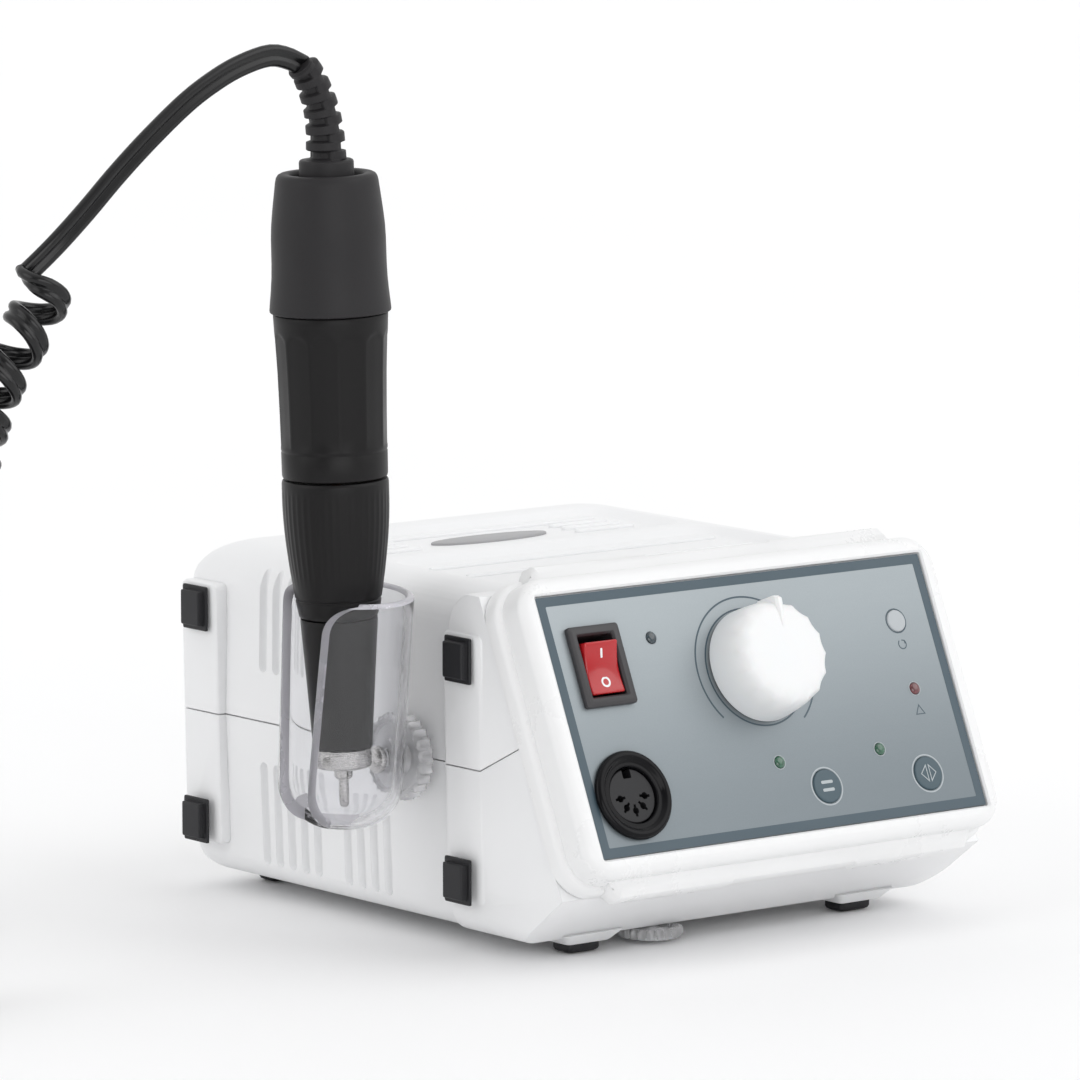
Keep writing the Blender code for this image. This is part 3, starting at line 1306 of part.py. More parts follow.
def main():
    for item in list(bpy.data.objects):
        bpy.data.objects.remove(item, do_unlink=True)
    frame = empty("drill_frame")
    panel = empty("panel_frame", frame, PANEL_CENTRE, (math.radians(90) - PANEL_LEAN, 0, 0))
    shell("lower_shell", False, frame)
    shell("upper_shell", True, frame)
    feet(frame)
    bumpers(frame)
    bezel(panel)
    front_label(panel)
    power_switch(panel)
    handpiece_socket(panel)
    speed_control(panel)
    lamps(panel)
    buttons(panel)
    control_board(panel)
    transformer(frame)
    rear_fittings(frame)
    holder(frame)
    axis = handpiece_axis(frame)
    handpiece_shells(axis)
    handpiece_drive(axis)
    strain_relief(axis, frame)
    cord(frame)
    centre_on_origin(frame)


main()
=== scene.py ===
"""Looks of the electric nail drill: case, printed front panel, controls, clear rest, handpiece, cord.

Sizes are in millimetres in the box's own frame: X to the right of the panel's middle, Y back from
the label's foot, Z up from the table. BOX turns them into the frame's metres."""

import math

import bmesh
import bpy
from mathutils import Matrix, Vector


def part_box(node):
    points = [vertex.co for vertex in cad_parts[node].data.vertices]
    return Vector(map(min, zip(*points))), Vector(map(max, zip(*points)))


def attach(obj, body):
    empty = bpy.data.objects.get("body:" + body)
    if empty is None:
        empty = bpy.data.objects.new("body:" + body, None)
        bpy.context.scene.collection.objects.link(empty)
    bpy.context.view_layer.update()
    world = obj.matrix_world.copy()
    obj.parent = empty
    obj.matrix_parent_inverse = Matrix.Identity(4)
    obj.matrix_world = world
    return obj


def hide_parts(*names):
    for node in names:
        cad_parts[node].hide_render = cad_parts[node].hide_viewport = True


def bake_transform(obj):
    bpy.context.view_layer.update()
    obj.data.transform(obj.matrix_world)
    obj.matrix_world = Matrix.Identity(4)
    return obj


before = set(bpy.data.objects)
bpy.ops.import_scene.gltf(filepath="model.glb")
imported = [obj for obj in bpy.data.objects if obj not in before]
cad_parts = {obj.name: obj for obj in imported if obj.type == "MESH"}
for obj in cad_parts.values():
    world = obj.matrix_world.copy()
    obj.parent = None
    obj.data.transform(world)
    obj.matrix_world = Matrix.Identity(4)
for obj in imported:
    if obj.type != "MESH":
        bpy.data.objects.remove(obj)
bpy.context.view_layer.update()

# ---------------------------------------------------------------- driving sizes, in millimetres
GAP = 0.3
LABEL_W, LABEL_H = 117.0, 63.0
PANEL_LEAN = math.radians(24)
LABEL_LOW = 27.8
MARGIN = 4.8
BEZEL_DEEP = 12.0
CASE_HALF = 62.5
FRONT_HALF = 64.5
CASE_BACK = 160.0
CASE_FLOOR = 4.0
CASE_TOP = 85.5
PARTING = 43.8
BELLY_TOP = (8.5, 17.0)
BELLY_SLOPE = 1.44
WALL = 2.5
RAILS = (44.8, 148.6)
RAIL_WIDE = 14.8
RAIL_FACE = 65.5
RAIL_LOW, RAIL_HIGH = 11.6, 75.6
TRAYS = ((47.0, 92.0), (104.0, 135.0))
TRAY_DEEP = 1.8
GROOVE_FIRST, GROOVE_PITCH = 126.2, 5.2
BUMPER_HEIGHTS = (("lower", 17.3), ("upper", 69.4))
FEET = (("front", 31.2), ("rear", 147.0))
FOOT_SPREAD = 41.7
FOOT_HALF_X, FOOT_HALF_Y = 4.75, 3.4
FITTING_HEIGHT = 26.5
REAR_FITTINGS = {
    "mains_inlet": (34.0, 13.5, 9.0), "fuse_holder": (0.0, 5.8, 5.8), "pedal_jack": (-34.0, 6.0, 6.0),
}
KNOB = (0.0, 9.0)
KNOB_TURN = math.radians(7)
SWITCH = (-45.2, 13.6)
SOCKET = (-45.8, -17.6)
LAMP_R = 1.45
PAINT = 0.035
LAMPS = {
    "power_lamp": (-28.0, 18.9), "mode_lamp": (-0.2, -14.5),
    "direction_lamp": (30.7, -14.6), "overload_lamp": (46.3, -1.2),
}
BUTTONS = {
    "mode_button": (11.9, -21.7, 4.1), "direction_button": (43.2, -22.0, 4.1),
    "reset_button": (46.2, 15.7, 2.7),
}
STUD = (-CASE_HALF, 66.2, PARTING)
CUP_OFFSET = 21.4
CUP_TILT = math.radians(4.5)
CUP_R, CUP_FOOT_R, CUP_WALL = 15.25, 14.6, 2.3
CUP_ABOVE, CUP_BELOW = 41.3, 14.3
RIM_WALL = CUP_WALL * 0.87
STUD_HOLE = 2.3
LOW_WHEEL = (-19.7, 30.8)
NOSE = (-84.2, 65.0, 43.6)
PEN_LEAN = math.radians(1.73)
CORD_THICK = 2.6
CURL_R = 5.2  # from the curl's axis to the middle of the cord
CURL_START = math.radians(-65)
HANG_PITCH, REST_PITCH = 10.3, 6.7

LEAD_ROUTE = [
    (-95.0, 65.0, 207.6), (-99.8, 65.0, 209.7), (-105.0, 65.0, 210.4),
    (-112.6, 65.0, 208.6), (-119.6, 65.0, 205.7), (-127.8, 65.1, 201.0),
    (-138.0, 65.2, 193.4), (-147.0, 65.4, 185.8), (-155.3, 65.6, 178.1),
    (-162.2, 66.0, 171.9), (-167.4, 67.0, 167.2), (-171.0, 68.0, 164.0),
]
HANGING_ROUTE = [
    (-166.4, 66.0, 163.4), (-167.4, 66.0, 159.4), (-170.4, 66.0, 153.8),
    (-175.0, 66.0, 147.9), (-180.5, 66.0, 139.6), (-185.4, 66.0, 128.0), (-189.5, 66.0, 112.0),
    (-192.5, 66.0, 93.0), (-194.0, 66.0, 75.0), (-194.6, 66.0, 57.0),
    (-195.0, 66.0, 42.0), (-195.3, 66.0, 28.5),
]
TABLE_ROUTE = [
    (-195.3, 66.0, 28.4), (-195.7, 66.0, 20.0), (-200.0, 67.5, 12.0),
    (-208.0, 71.2, 7.8), (-216.5, 77.5, 6.9), (-223.0, 86.2, 6.9),
    (-226.2, 96.8, 6.9), (-225.5, 108.0, 6.9), (-220.8, 118.2, 6.9),
    (-212.8, 126.0, 6.9), (-202.5, 130.4, 6.9), (-191.5, 131.0, 6.9),
]
TAIL_ROUTE = [
    (-190.6, 131.0, 6.9), (-185.0, 130.3, 5.0), (-178.5, 129.0, 3.3),
    (-171.5, 128.5, 2.9), (-164.5, 129.5, 2.9), (-158.0, 132.5, 3.2),
    (-153.6, 137.6, 4.6), (-151.5, 144.0, 6.4), (-151.2, 149.4, 7.0),
]

# ---------------------------------------------------------------- frames
label_low, label_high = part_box("front_label")
ORIGIN = Vector(((label_low.x + label_high.x) / 2, label_low.y, 0))
BOX = Matrix.Translation(ORIGIN) @ Matrix.Scale(0.001, 4)
PANEL_MID = Vector((
    0, LABEL_H / 2 * math.sin(PANEL_LEAN), LABEL_LOW + LABEL_H / 2 * math.cos(PANEL_LEAN),
))


def placed(place, turn=Matrix()):
    """A frame in the box at a point, turned."""
    return BOX @ Matrix.Translation(place) @ turn


def turned_by(angle, axis):
    return Matrix.Rotation(angle, 4, axis)


PANEL = placed(PANEL_MID, turned_by(math.radians(90) - PANEL_LEAN, "X"))
PEN = placed(NOSE, turned_by(-PEN_LEAN, "Y"))
CUP = placed((STUD[0] - CUP_OFFSET, STUD[1], STUD[2]), turned_by(CUP_TILT, "X"))


# ---------------------------------------------------------------- shader sums
class Value:
    """A shader socket that takes part in sums: an expression adds its Math nodes."""

    def __init__(self, finish, socket):
        self.finish = finish
        self.socket = socket

    def math(self, operation, *others):
        node = self.finish.node("ShaderNodeMath", {"operation": operation},
                                dict(enumerate((self, *others))))
        return Value(self.finish, node.outputs[0])

    def __add__(self, other):
        return self.math("ADD", other)

    def __radd__(self, other):
        return self.math("ADD", other)

    def __sub__(self, other):
        return self.math("SUBTRACT", other)

    def __rsub__(self, other):
        return (self * -1) + other

    def __mul__(self, other):
        return self.math("MULTIPLY", other)

    def __rmul__(self, other):
        return self.math("MULTIPLY", other)

    def __truediv__(self, other):
        return self.math("DIVIDE", other)

    def rise(self, low, high, to_low=0.0, to_high=1.0):
        """Eases from one number to another as the value goes from low to high."""
        node = self.finish.node(
            "ShaderNodeMapRange", {"interpolation_type": "SMOOTHSTEP"},
            {"Value": self, "From Min": low, "From Max": high, "To Min": to_low, "To Max": to_high},
        )
        return Value(self.finish, node.outputs["Result"])


class Finish:
    """A material in the making. Numbers that don't vary are set on the shader itself."""

    def __init__(self, name, **fixed):
        self.material = bpy.data.materials.new(name)
        self.material.use_nodes = True
        self.tree = self.material.node_tree
        self.shader = self.tree.nodes["Principled BSDF"]
        for key, value in fixed.items():
            self.shader.inputs[key.replace("_", " ")].default_value = value

    def node(self, kind, settings=None, sockets=None):
        made = self.tree.nodes.new(kind)
        for key, value in (settings or {}).items():
            setattr(made, key, value)
        for key, value in (sockets or {}).items():
            if isinstance(value, Value):
                self.tree.links.new(value.socket, made.inputs[key])
            else:
                made.inputs[key].default_value = value
        return made

    def feed(self, socket, value):
        self.tree.links.new(value.socket, self.shader.inputs[socket])

    def spot(self):
        """Place on the piece, in metres."""
        return Value(self, self.node("ShaderNodeTexCoord").outputs["Object"])

    def along(self, direction, start=(0, 0, 0)):
        """Distance in millimetres along a direction, from a point in metres."""
        away = self.node("ShaderNodeVectorMath", {"operation": "SUBTRACT"},
                         {0: self.spot(), 1: tuple(start)})
        run = self.node("ShaderNodeVectorMath", {"operation": "DOT_PRODUCT"},
                        {0: Value(self, away.outputs[0]), 1: tuple(direction)})
        return Value(self, run.outputs["Value"]) * 1000

    def noise(self, size, detail=2.0, stretch=None, roughness=0.5):
        """Cloudy noise from 0 to 1, with features of about this size in millimetres."""
        where = self.spot()
        if stretch:
            scaled = self.node("ShaderNodeVectorMath", {"operation": "MULTIPLY"},
                               {0: where, 1: stretch})
            where = Value(self, scaled.outputs[0])
        made = self.node("ShaderNodeTexNoise", None, {
            "Vector": where, "Scale": 1000 / size, "Detail": detail, "Roughness": roughness,
        })
        return Value(self, made.outputs["Fac"])

    def between(self, share, first, second):
        made = self.node("ShaderNodeMix", {"data_type": "RGBA"}, {
            "Factor": share,
            6: first if isinstance(first, Value) else (*first, 1),
            7: second if isinstance(second, Value) else (*second, 1),
        })
        return Value(self, made.outputs[2])

    def relief(self, height, strength, deep=0.1, edge=0.0):
        """Bump from a height in millimetres, over edges rounded by a radius in millimetres."""
        sockets = {"Height": height, "Strength": strength, "Distance": deep * 0.001}
        if edge:
            sockets["Normal"] = self.rounded(edge)
        made = self.node("ShaderNodeBump", None, sockets)
        self.feed("Normal", Value(self, made.outputs[0]))

    def rounded(self, radius):
        made = self.node("ShaderNodeBevel", {"samples": 6}, {"Radius": radius * 0.001})
        return Value(self, made.outputs[0])


def moulded(name, color, shade, rough, grain, strength, edge, **fixed):
    """Moulded plastic or rubber: fine texture of the mould, faint clouding, handled patches."""
    made = Finish(name, **fixed)
    cloud = made.noise(22, 3)
    fine = made.noise(grain, 3, roughness=0.6)
    made.feed("Base Color", made.between(cloud * 0.7 + fine * 0.3, color, shade))
    made.feed("Roughness", cloud.rise(0.3, 0.7, rough - 0.04, rough + 0.05) + fine * 0.05)
    made.relief(fine, strength, 0.05, edge)
    return made.material


# Name: darker colour, lighter colour, roughness, grain in mm, relief, edge radius in mm
MOULDED = {
    "white_case": ((0.815, 0.82, 0.83), (0.85, 0.853, 0.86), 0.40, 0.45, 0.30, 0.35),
    "white_bezel": ((0.79, 0.793, 0.797), (0.83, 0.833, 0.837), 0.27, 0.8, 0.05, 0.0),
    "white_knob": ((0.79, 0.79, 0.795), (0.83, 0.83, 0.835), 0.30, 0.6, 0.10, 0.25),
    "black_satin": ((0.0052, 0.0048, 0.0052), (0.0085, 0.008, 0.0085), 0.38, 0.35, 0.30, 0.2),
    "black_soft": ((0.0165, 0.0155, 0.017), (0.024, 0.023, 0.0245), 0.48, 0.30, 0.45, 0.25),
    "rubber": ((0.009, 0.009, 0.011), (0.016, 0.016, 0.019), 0.50, 0.5, 0.30, 0.2),
    "black_gloss": ((0.0035, 0.0035, 0.0045), (0.006, 0.006, 0.007), 0.12, 1.2, 0.04, 0.15),
    "switch_frame": ((0.030, 0.029, 0.032), (0.040, 0.038, 0.041), 0.38, 0.4, 0.25, 0.15),
    "dark_insert": ((0.014, 0.014, 0.0155), (0.021, 0.021, 0.023), 0.42, 0.5, 0.2, 0.1),
    "vinyl": ((0.003, 0.003, 0.0035), (0.006, 0.006, 0.0065), 0.20, 1.5, 0.10, 0.0),
    "board_green": ((0.01, 0.10, 0.05), (0.02, 0.16, 0.08), 0.4, 1.0, 0.2, 0.0),
    "slate_cap": ((0.045, 0.080, 0.100), (0.055, 0.092, 0.115), 0.38, 0.5, 0.10, 0.12),
    "grey_cap": ((0.40, 0.43, 0.45), (0.45, 0.48, 0.50), 0.36, 0.5, 0.10, 0.1),
    "mark_white": ((0.80, 0.81, 0.82), (0.86, 0.87, 0.88), 0.45, 0.4, 0.05, 0.0),
    "mark_slate": ((0.052, 0.082, 0.104), (0.060, 0.094, 0.118), 0.42, 0.4, 0.05, 0.0),
    "mark_pale": ((0.40, 0.44, 0.46), (0.44, 0.48, 0.50), 0.40, 0.4, 0.05, 0.0),
    "badge_grey": ((0.30, 0.30, 0.31), (0.38, 0.38, 0.39), 0.40, 0.5, 0.2, 0.1),
}
DULLED = {"black_satin": 0.22, "black_soft": 0.25, "rubber": 0.4, "black_gloss": 0.14,
          "dark_insert": 0.3, "vinyl": 0.4}
# Name: colour, roughness, stretch of the turning marks
METALS = {
    "steel": ((0.62, 0.61, 0.60), 0.22, (1, 1, 14)),
    "dull_steel": ((0.45, 0.45, 0.46), 0.36, (1, 1, 6)),
    "copper": ((0.60, 0.26, 0.13), 0.35, (1, 1, 20)),
    "lamination": ((0.12, 0.12, 0.13), 0.5, (1, 30, 1)),
}
LENSES = {"green_lens": (0.010, 0.070, 0.036), "red_lens": (0.10, 0.016, 0.020),
          "slate_lens": (0.008, 0.020, 0.028)}


def finishes():
    """Every finish on the drill, by name."""
    made = {}
    for name, settings in MOULDED.items():
        fixed = {"Specular_IOR_Level": DULLED[name]} if name in DULLED else {}
        if name == "white_knob":
            fixed["Subsurface_Weight"] = 0.05
        made[name] = moulded(name, *settings, **fixed)
    made["rocker_red"] = rocker_red()
    made["label_metal"] = label_metal()
    made["clear_rest"] = clear_plastic("clear_rest", 0.06, 0.98, IOR=1.28)
    made["clear_wheel"] = clear_plastic("clear_wheel", 0.20, 0.72)
    made["clear_edge"] = clear_plastic("clear_edge", 0.30, 0.35, (0.66, 0.65, 0.70))
    for name, settings in METALS.items():
        made[name] = worked_metal(name, *settings)
    for name, color in LENSES.items():
        made[name] = lens(name, color)
    return made


def rocker_red():
    """Translucent red plastic, deeper where it is thick."""
    made = Finish("rocker_red", Subsurface_Weight=0.15, Coat_Weight=0.25, Coat_Roughness=0.08)
    made.shader.inputs["Subsurface Radius"].default_value = (0.004, 0.001, 0.001)
    made.shader.inputs["Subsurface Scale"].default_value = 0.5
    cloud = made.noise(6, 2)
    made.feed("Base Color", made.between(cloud, (0.40, 0.006, 0.010), (0.47, 0.010, 0.015)))
    made.feed("Roughness", cloud.rise(0.3, 0.7, 0.16, 0.24))
    made.relief(made.noise(1.5, 2), 0.06, 0.05, 0.3)
    return made.material


def label_metal():
    """Printed metal skin: silver grey with a very fine grain, and a painted reflection that lightens
    it towards the top and towards the left.
    """
    made = Finish("label_metal", Metallic=0.25)
    up = PANEL.to_3x3().col[1].normalized()
    side = PANEL.to_3x3().col[0].normalized()
    middle = PANEL.translation
    height = made.along(up, middle)
    across = made.along(side, middle)
    grain = made.noise(0.22, 4, roughness=0.7)
    streak = made.noise(3.0, 3, (0.25, 1, 1))
    # Painted reflection: the base colour lightens towards the top and towards the left side, standing
    # in for reflected light.
    painted_reflection = height.rise(-30, 34) * 0.72 + across.rise(-60, 60, 0.12, 0.0)
    body = made.between(painted_reflection, (0.225, 0.262, 0.285), (0.475, 0.515, 0.535))
    speck = made.between((grain - 0.5) * 0.5 + streak * 0.10, (0.0, 0.0, 0.0), (1.0, 1.0, 1.0))
    mixed = made.node("ShaderNodeMix", {"data_type": "RGBA", "blend_type": "SOFT_LIGHT"},
                      {"Factor": 0.35, 6: body, 7: speck})
    made.feed("Base Color", Value(made, mixed.outputs[2]))
    made.feed("Roughness", grain.rise(0.3, 0.7, 0.34, 0.44) + streak * 0.06)
    made.relief(grain, 0.12, 0.03)
    return made.material


def clear_plastic(name, rough, through, tint=(0.97, 0.97, 0.985), **fixed):
    """Clear moulded plastic, rubbed and a little frosted, with faint flow marks."""
    made = Finish(name, Transmission_Weight=through, **fixed)
    cloud = made.noise(16, 3)
    fine = made.noise(0.7, 3)
    darker = tuple(channel * 0.97 for channel in tint)
    made.feed("Base Color", made.between(cloud, darker, tint))
    made.feed("Roughness", cloud.rise(0.3, 0.75, rough * 0.4, rough) + fine * 0.04)
    made.relief(cloud * 0.8 + fine * 0.2, 0.12, 0.15, 0.25)
    return made.material


def worked_metal(name, color, rough, stretch):
    """Machined metal with fine turning marks."""
    made = Finish(name, Metallic=1.0)
    marks = made.noise(1.2, 4, stretch, 0.7)
    cloud = made.noise(8, 2)
    darker = tuple(channel * 0.72 for channel in color)
    made.feed("Base Color", made.between(marks * 0.6 + cloud * 0.4, darker, color))
    made.feed("Roughness", marks.rise(0.3, 0.7, rough - 0.07, rough + 0.10))
    made.relief(marks, 0.12, 0.03, 0.15)
    return made.material


def lens(name, color):
    """Tinted lamp lens under a clear coat, unlit."""
    made = Finish(name, Coat_Weight=1.0, Coat_Roughness=0.05, Subsurface_Weight=0.1)
    cloud = made.noise(1.1, 2)
    bright = tuple(min(1.0, channel * 1.7) for channel in color)
    made.feed("Base Color", made.between(cloud.rise(0.35, 0.7), color, bright))
    made.feed("Roughness", cloud.rise(0.3, 0.7, 0.15, 0.3))
    return made.material


FINISH = finishes()


# ---------------------------------------------------------------- mesh helpers
def arc(centre, radius, start, end, steps):
    return [
        (
            centre[0] + radius * math.cos(math.radians(start + (end - start) * i / steps)),
            centre[1] + radius * math.sin(math.radians(start + (end - start) * i / steps)),
        )
        for i in range(steps + 1)
    ]


def rounded(x0, x1, y0, y1, radius, steps=8):
    corners = ((x1 - radius, y1 - radius, 0), (x0 + radius, y1 - radius, 90),
               (x0 + radius, y0 + radius, 180), (x1 - radius, y0 + radius, 270))
    points = []
    for x, y, start in corners:
        points += arc((x, y), radius, start, start + 90, steps)
    return points


def circle(radius, steps, centre=(0, 0)):
    return arc(centre, radius, 0, 360 - 360 / steps, steps - 1)


def loft(bm, rings):
    rows = [[bm.verts.new(point) for point in ring] for ring in rings]
    count = len(rows[0])
    for low, high in zip(rows, rows[1:]):
        for i in range(count):
            j = (i + 1) % count
            bm.faces.new((low[i], low[j], high[j], high[i]))
    bm.faces.new(reversed(rows[0]))
    bm.faces.new(rows[-1])
    return [vert for row in rows for vert in row]


def stack(bm, half_x, half_y, radius, levels, steps=8, centre=(0, 0), follow=1.0):
    """Level sections with round corners. A level is a height and its spread past the half sizes,
    which the corners' radius follows by a share."""
    x, y = centre
    rings = []
    for z, spread in levels:
        outline = rounded(x - half_x - spread, x + half_x + spread, y - half_y - spread,
                          y + half_y + spread, radius + spread * follow, steps)
        rings.append([(u, v, z) for u, v in outline])
    return loft(bm, rings)


def prism(bm, outline, low, high):
    return loft(bm, [[(x, y, z) for x, y in outline] for z in (low, high)])


def block(bm, x0, x1, y0, y1, z0, z1):
    return prism(bm, [(x0, y0), (x1, y0), (x1, y1), (x0, y1)], z0, z1)


def turned(bm, profile, steps=96, ripple=None):
    """Turns a closed (radius, height) profile round Z. ripple(angle, radius, height) comes off it."""
    rows = []
    for radius, height in profile:
        if radius == 0:
            rows.append([bm.verts.new((0, 0, height))] * steps)
            continue
        row = []
        for k in range(steps):
            angle = math.tau * k / steps
            local = radius - (ripple(angle, radius, height) if ripple else 0)
            row.append(bm.verts.new((local * math.cos(angle), local * math.sin(angle), height)))
        rows.append(row)
    for k, low in enumerate(rows):
        high = rows[(k + 1) % len(rows)]
        if profile[k][0] == 0 and profile[(k + 1) % len(rows)][0] == 0:
            continue
        for i in range(steps):
            j = (i + 1) % steps
            bm.faces.new(list(dict.fromkeys((low[i], low[j], high[j], high[i]))))
    return [vert for row in rows for vert in row]


def move(verts, matrix):
    for vert in set(verts):
        vert.co = matrix @ vert.co


def raw(name, bm, place):
    bmesh.ops.recalc_face_normals(bm, faces=bm.faces)
    mesh = bpy.data.meshes.new(name)
    bm.to_mesh(mesh)
    bm.free()
    mesh.transform(place)
    made = bpy.data.objects.new(name, mesh)
    bpy.context.scene.collection.objects.link(made)
    return made


def settled(made):
    """Puts the result of a piece's modifiers into its mesh."""
    bpy.context.view_layer.update()
    graph = bpy.context.evaluated_depsgraph_get()
    result = bpy.data.meshes.new_from_object(made.evaluated_get(graph))
    made.modifiers.clear()
    made.data = result


def carve(made, bm, place, operation="DIFFERENCE"):
    """Cuts a shape out of a piece, joins it on, or keeps only what they share."""
    other = raw("cutter", bm, place)
    modifier = made.modifiers.new("carve", "BOOLEAN")
    modifier.object = other
    modifier.operation = operation
    modifier.solver = "EXACT"
    settled(made)
    bpy.data.objects.remove(other, do_unlink=True)


def dress(made, finish, body, nodes=(), crease=32, edge=0.0):
    """Shades a piece, gives it its finish, and hangs it on its body in place of CAD nodes."""
    if edge:
        bevel = made.modifiers.new("edge", "BEVEL")
        bevel.width = edge * 0.001
        bevel.segments = 3
        bevel.limit_method = "ANGLE"
        bevel.angle_limit = math.radians(30)
        settled(made)
    made.data.shade_smooth()
    made.data.set_sharp_from_angle(angle=math.radians(crease))
    made.data.materials.clear()
    made.data.materials.append(FINISH[finish])
    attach(made, body)
    if nodes:
        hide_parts(*nodes)
    return made


def piece(name, bm, place, finish, body, nodes=(), crease=32):
    return dress(raw(name, bm, place), finish, body, nodes, crease)


def lathe(name, place, profile, finish, body, nodes=(), crease=40, steps=96, ripple=None):
    """A piece turned from a profile."""
    bm = bmesh.new()
    turned(bm, profile, steps, ripple)
    return piece(name, bm, place, finish, body, nodes, crease)


def smooth_route(points, step):
    """Evenly spaced points on a smooth curve through the route's own points."""
    nodes = [Vector(point) for point in points]
    nodes = [2 * nodes[0] - nodes[1], *nodes, 2 * nodes[-1] - nodes[-2]]
    fine = []
    for a, b, c, d in zip(nodes, nodes[1:], nodes[2:], nodes[3:]):
        for k in range(16):
            t = k / 16
            fine.append(0.5 * (
                2 * b + (c - a) * t + (2 * a - 5 * b + 4 * c - d) * t * t
                + (3 * b - a - 3 * c + d) * t * t * t
            ))
    fine.append(nodes[-2])
    lengths = [0.0]
    for a, b in zip(fine, fine[1:]):
        lengths.append(lengths[-1] + (b - a).length)
    count = max(2, round(lengths[-1] / step))
    places = []
    index = 0
    for k in range(count + 1):
        want = lengths[-1] * k / count
        while index < len(fine) - 2 and lengths[index + 1] < want:
            index += 1
        share = (want - lengths[index]) / (lengths[index + 1] - lengths[index])
        places.append(fine[index].lerp(fine[index + 1], share))
    return places


def ease(value, low, high):
    t = min(1.0, max(0.0, (value - low) / (high - low)))
    return t * t * (3 - 2 * t)


# ---------------------------------------------------------------- camera
def camera():
    """A long lens from the front left, a little above the table."""
    azimuth, elevation, distance = math.radians(-38.39), math.radians(8.11), 1854
    aim = Vector((-21.73, 70, 90.73))
    away = Vector((
        math.sin(azimuth) * math.cos(elevation), -math.cos(azimuth) * math.cos(elevation),
        math.sin(elevation),
    ))
    data = bpy.data.cameras.new("studio_camera")
    data.lens = 260
    data.sensor_width = 36
    data.clip_end = 20
    made = bpy.data.objects.new("studio_camera", data)
    made.location = BOX @ (aim + away * distance)
    made.rotation_euler = (-away).to_track_quat("-Z", "Y").to_euler()
    bpy.context.scene.collection.objects.link(made)
    bpy.context.scene.camera = made


# ---------------------------------------------------------------- cord
def curl(route, pitch, phase, side, shrink=0.0):
    """Points of a curl wound on a route, whose radius eases out over the last stretch, shrink.
    Returns the points, the axis' directions there, the last phase and the last side vector."""
    axis = smooth_route(route, 0.5)
    total = sum((b - a).length for a, b in zip(axis, axis[1:]))
    points, directions = [], []
    run = 0.0
    for k, place in enumerate(axis):
        ahead = (axis[min(k + 1, len(axis) - 1)] - axis[max(k - 1, 0)]).normalized()
        side = (side - ahead * side.dot(ahead)).normalized()
        other = ahead.cross(side)
        step = (axis[min(k + 1, len(axis) - 1)] - place).length
        radius = CURL_R * (1 - (ease(run, total - shrink, total) if shrink else 0))
        turns = 5 if k < len(axis) - 1 else 1
        for j in range(turns):
            share = j / turns
            angle = phase - math.tau * step * share / pitch(run)
            centre = place + ahead * step * share
            points.append(centre + (side * math.cos(angle) + other * math.sin(angle)) * radius)
            directions.append(ahead)
        phase -= math.tau * step / pitch(run)
        run += step
    return points, directions, phase, side


def thinned(points, directions, step):
    """Points about one step apart along the cord, with the direction that its width takes."""
    kept = [0]
    run = 0.0
    for k in range(1, len(points)):
        run += (points[k] - points[k - 1]).length
        if run >= step:
            kept.append(k)
            run = 0.0
    if kept[-1] != len(points) - 1:
        kept[-1] = len(points) - 1
    return [points[k] for k in kept], [directions[k] for k in kept]


def flat_cord(name, points, across):
    """A twin cord: two round cores side by side, its width turned to the given directions."""
    lobe = CORD_THICK / 2
    outline = [(lobe + lobe * math.cos(math.radians(a)), lobe * math.sin(math.radians(a)))
               for a in range(-150, 151, 30)]
    outline += [(-lobe - lobe * math.cos(math.radians(a)), -lobe * math.sin(math.radians(a)))
                for a in range(-150, 151, 30)]
    rings = []
    for k, point in enumerate(points):
        ahead = (points[min(k + 1, len(points) - 1)] - points[max(k - 1, 0)]).normalized()
        wide = across[k] - ahead * across[k].dot(ahead)
        wide.normalize()
        thick = ahead.cross(wide)
        rings.append([point + wide * x + thick * y for x, y in outline])
    bm = bmesh.new()
    loft(bm, rings)
    made = raw(name, bm, BOX)
    made.data.shade_smooth()
    made.data.set_sharp_from_angle(angle=math.radians(60))
    made.data.materials.append(FINISH["vinyl"])
    return made


